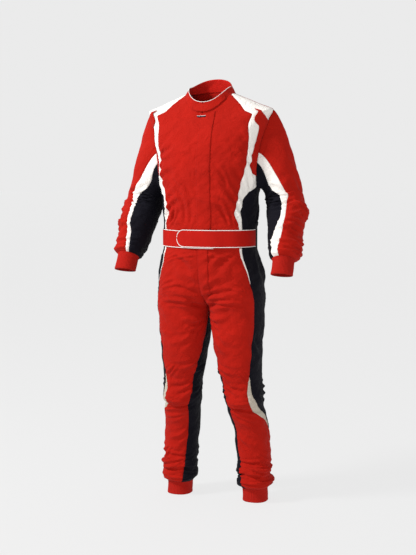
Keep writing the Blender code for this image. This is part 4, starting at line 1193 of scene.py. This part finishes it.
def ribbed_tube(node, surface, rows, axis, side, ribs):
    """A knit cuff: raised ribs all round, and a folded hem."""
    around = np.linspace(0, 360, ribs * 6 + 1)
    angles = np.broadcast_to(around, (len(rows), len(around)))
    _, outer, into = laid_out(surface, rows, angles)
    into = unit(into - (into * axis[:, None]).sum(-1, keepdims=True) * axis[:, None])
    share = even(len(rows) - 1)[:, None]
    loose = CUFF_LOOSE * np.sin(np.radians(3 * angles) + 4 * share) * np.sin(np.pi * share)
    rib = RIB_HIGH * (0.5 + 0.5 * cosd(angles * ribs)) ** 0.6
    hem = CUFF_HEM * (ease(share, 0.86, 0.90) - ease(share, 0.97, 1.0))
    outer = outer - (rib - RIB_SUNK + loose + hem)[..., None] * into
    rings = mirrored(np.concatenate([outer[:, :-1], (outer + RIB_WALL * into)[::-1, :-1]]), side)
    rows_all, columns = rings.shape[:2]
    at = np.arange(rows_all * columns).reshape(rows_all, columns)
    at = np.concatenate([at, at[:1]])
    beside = np.roll(at, -1, axis=1)
    faces = np.stack([at[:-1], beside[:-1], beside[1:], at[1:]], axis=-1).reshape(-1, 4)
    flat = np.broadcast_arrays(np.radians(around[None, :-1]) * 0.04, np.linspace(0, 0.1, rows_all)[:, None])
    flat = np.stack(flat, axis=-1).reshape(-1, 2)
    made = add_mesh("cloth_" + node, rings.reshape(-1, 3), faces, KNIT, flat)
    stands_for(node)


def build_sleeves():
    """Red outer, white band and navy under part of each sleeve, and a knit cuff."""
    cuff_rows = np.linspace(WRIST_H - SEAM_GAP, CUFF_END_H, 20)
    for side, hand in ((1, "_left"), (-1, "_right")):
        red_white, white_navy, back_seam = sleeve_seams(SLEEVE_ROWS, side)
        sleeve_shell("sleeve_outer" + hand, red_white, back_seam, RED, side, ("red", 3, -4))
        sleeve_shell("sleeve_band" + hand, white_navy, red_white, WHITE, side)
        sleeve_shell("sleeve_under" + hand, back_seam - 360, white_navy, NAVY, side,
                     ("navy", -4))
        ribbed_tube("wrist_cuff" + hand, arm, cuff_rows, arm_frame(cuff_rows)[1], side, WRIST_RIBS)


LEG_ROWS = np.concatenate(  # the trunk, down to the knee insert's foot, and below it
    [np.linspace(0.93385, 0.6905, 66), np.linspace(CROTCH_H, 0.2625, 116), np.linspace(0.2590, ANKLE_H, 76)]
)
WEDGE_DEGREES, WEDGE_LAP = 3.6, 0.3  # the hip wedge's width at the belt, and its lap over the seam
WEDGE_TOP, WEDGE_TIP = 0.899, 0.776
WEDGE_WALL, WEDGE_LIFT = 0.0008, 0.0010


def leg_shell(node, rows, angles, trunk, middle, look, side, sewn=()):
    """One piece of a leg. middle is its column on the suit's middle, on the rows of the trunk."""
    levels, outer, into = laid_out(leg, rows, angles)
    into[trunk, middle, 0] = 0
    into[trunk, middle] = unit(into[trunk, middle])
    level_edge(into, 0)
    level_edge(into, -1)
    outer = crumple(outer, into, leg_relief, side, angles, levels)
    outer[..., 0] = np.maximum(outer[..., 0], SEAM_GAP / 2)
    stitch(outer, into, sewn[1:], sewn[0], side, slice(8, -2))
    shell(node, outer, into, look, side)


def knee_insert(node, rows, angles, side):
    """The light piece between a leg's front and its back, beside the knee."""
    levels, outer, into = laid_out(leg, rows, angles)
    outer = crumple(outer, into, leg_relief, side, angles, levels)
    shell(node, outer, into, CREAM, side)


def hip_wedge(name, side):
    """A thin white wedge laid along the trouser's side seam, pointed downward."""
    rows = np.linspace(WEDGE_TOP, WEDGE_TIP, 34)
    edge = LEG_SEAMS.read("front_edge", rows)
    width = WEDGE_DEGREES * (rows - rows[-1]) / (rows[0] - rows[-1])
    angles = spread(leg, rows, edge - WEDGE_LAP - width, edge + WEDGE_LAP)
    levels, outer, into = laid_out(leg, rows, angles)
    outer = outer - (leg_relief(side, angles, levels, outer) + WEDGE_LIFT)[..., None] * into
    points = both_faces(outer, into, WEDGE_WALL, side)
    add_mesh(name, points, wall_faces(*outer.shape[:2]), WHITE)


def build_legs():
    """Red front, navy back and light knee insert of each leg. Above the crotch they end on the middle."""
    rows = LEG_ROWS
    trunk = rows > CROTCH_H + 1e-9
    front_edge, back_edge, inner = (LEG_SEAMS.read(name, rows) for name in LEG_SEAMS.names[1:])
    share = (LEG.read("x", rows) - SEAM_GAP / 2) / LEG.read("half_w", rows)
    clip = np.degrees(np.arcsin(np.clip(share, 0, 1) ** (LEG_POWER / 2)))
    half = SEAM_GAP / 2
    low = np.where(trunk, -clip, shift(leg, inner, rows, half))
    high = np.where(trunk, 180 + clip, shift(leg, inner + 360, rows, -half))
    fronts = spread(leg, rows, low, shift(leg, front_edge, rows, -half))
    backs = spread(leg, rows, shift(leg, back_edge, rows, half), high)
    knee = (rows < KNEE_TOP_H) & (rows > KNEE_FOOT_H)
    own = rows[knee]
    knees = spread(leg, own, shift(leg, front_edge[knee], own, half), shift(leg, back_edge[knee], own, -half))
    cuff_rows = np.linspace(ANKLE_H - SEAM_GAP, 0, 18)
    upright = np.tile([0.0, 0.0, 1.0], (len(cuff_rows), 1))
    for side, hand in ((1, "_left"), (-1, "_right")):
        leg_shell("leg_front" + hand, rows, fronts, trunk, 0, LEG_RED, side, ("red", -4))
        leg_shell("leg_back" + hand, rows, backs, trunk, -1, NAVY, side, ("navy", 3))
        knee_insert("knee_insert" + hand, own, knees, side)
        ribbed_tube("ankle_cuff" + hand, leg, cuff_rows, upright, side, ANKLE_RIBS)
        hip_wedge("hip_wedge" + hand, side)


for old in [own for own in bpy.data.objects if own.type in {"CAMERA", "LIGHT"}]:
    bpy.data.objects.remove(old)
build_torso()
build_strips()
build_collar()
build_placket()
build_throat()
build_belt()
build_sleeves()
build_legs()
for color, look in THREADS.items():
    sew(color, color + "_stitches", look)


def plain(name, color, glow):
    """The studio's pale surroundings."""
    made = bpy.data.materials.new(name)
    made.use_nodes = True
    shader = made.node_tree.nodes["Principled BSDF"]
    shader.inputs["Base Color"].default_value = (color, color, color, 1.0)
    shader.inputs["Roughness"].default_value = 0.9
    shader.inputs["Emission Color"].default_value = (1.0, 1.0, 1.0, 1.0)
    shader.inputs["Emission Strength"].default_value = glow
    return made


ROOM_LIGHT, BACKDROP = 0.49, 0.83  # how bright the surroundings are to the cloth, and as they are seen
FLOOR_Z = -SHOULDER_H - LEG_STRETCH - 0.0006
FLOOR_COLOR, FLOOR_GLOW = 0.07, 0.755  # as bright as the backdrop behind it
floor = bpy.data.meshes.new("floor")
corners = [(-30, -30, FLOOR_Z), (30, -30, FLOOR_Z), (30, 60, FLOOR_Z), (-30, 60, FLOOR_Z)]
floor.from_pydata(corners, [], [(0, 1, 2, 3)])
floor.materials.append(plain("studio_floor", FLOOR_COLOR, FLOOR_GLOW))
ground = bpy.data.objects.new("floor", floor)
bpy.context.scene.collection.objects.link(ground)

world = bpy.data.worlds.new("studio")
bpy.context.scene.world = world
world.use_nodes = True
around = world.node_tree.nodes["Background"]
around.inputs["Color"].default_value = (*[ROOM_LIGHT] * 3, 1.0)
seen = world.node_tree.nodes.new("ShaderNodeBackground")
seen.inputs["Color"].default_value = (*[BACKDROP] * 3, 1.0)
path = world.node_tree.nodes.new("ShaderNodeLightPath")
choice = world.node_tree.nodes.new("ShaderNodeMixShader")
world.node_tree.links.new(path.outputs["Is Camera Ray"], choice.inputs["Fac"])
world.node_tree.links.new(around.outputs[0], choice.inputs[1])
world.node_tree.links.new(seen.outputs[0], choice.inputs[2])
world.node_tree.links.new(choice.outputs[0], world.node_tree.nodes["World Output"].inputs["Surface"])


def area_light(name, place, target, size, power):
    """A soft square light that faces its target."""
    lamp = bpy.data.lights.new(name, "AREA")
    lamp.size, lamp.energy = size, power
    made = bpy.data.objects.new(name, lamp)
    made.location = place
    ahead = unit(np.array(target) - np.array(place))
    made.rotation_euler = Vector(ahead).to_track_quat("-Z", "Y").to_euler()
    bpy.context.scene.collection.objects.link(made)


area_light("key", (-2.7, -2.45, 2.4), (0.0, 0.0, -0.5), 0.9, 205.0)
area_light("fill", (2.0, -3.0, 0.0), (0.0, 0.0, -0.7), 2.0, 22.0)

AZIMUTH, DISTANCE, EYE_Z, PITCH = 21.0, 4.05, -0.215, 5.4
lens = bpy.data.cameras.new("camera")
lens.sensor_fit, lens.sensor_height, lens.lens, lens.shift_x = "VERTICAL", 24.0, 49.56, -0.0045
camera = bpy.data.objects.new("camera", lens)
camera.location = (sind(AZIMUTH) * DISTANCE, -cosd(AZIMUTH) * DISTANCE, EYE_Z)
camera.rotation_euler = (np.radians(90 - PITCH), 0.0, np.radians(AZIMUTH))
bpy.context.scene.collection.objects.link(camera)
bpy.context.scene.camera = camera
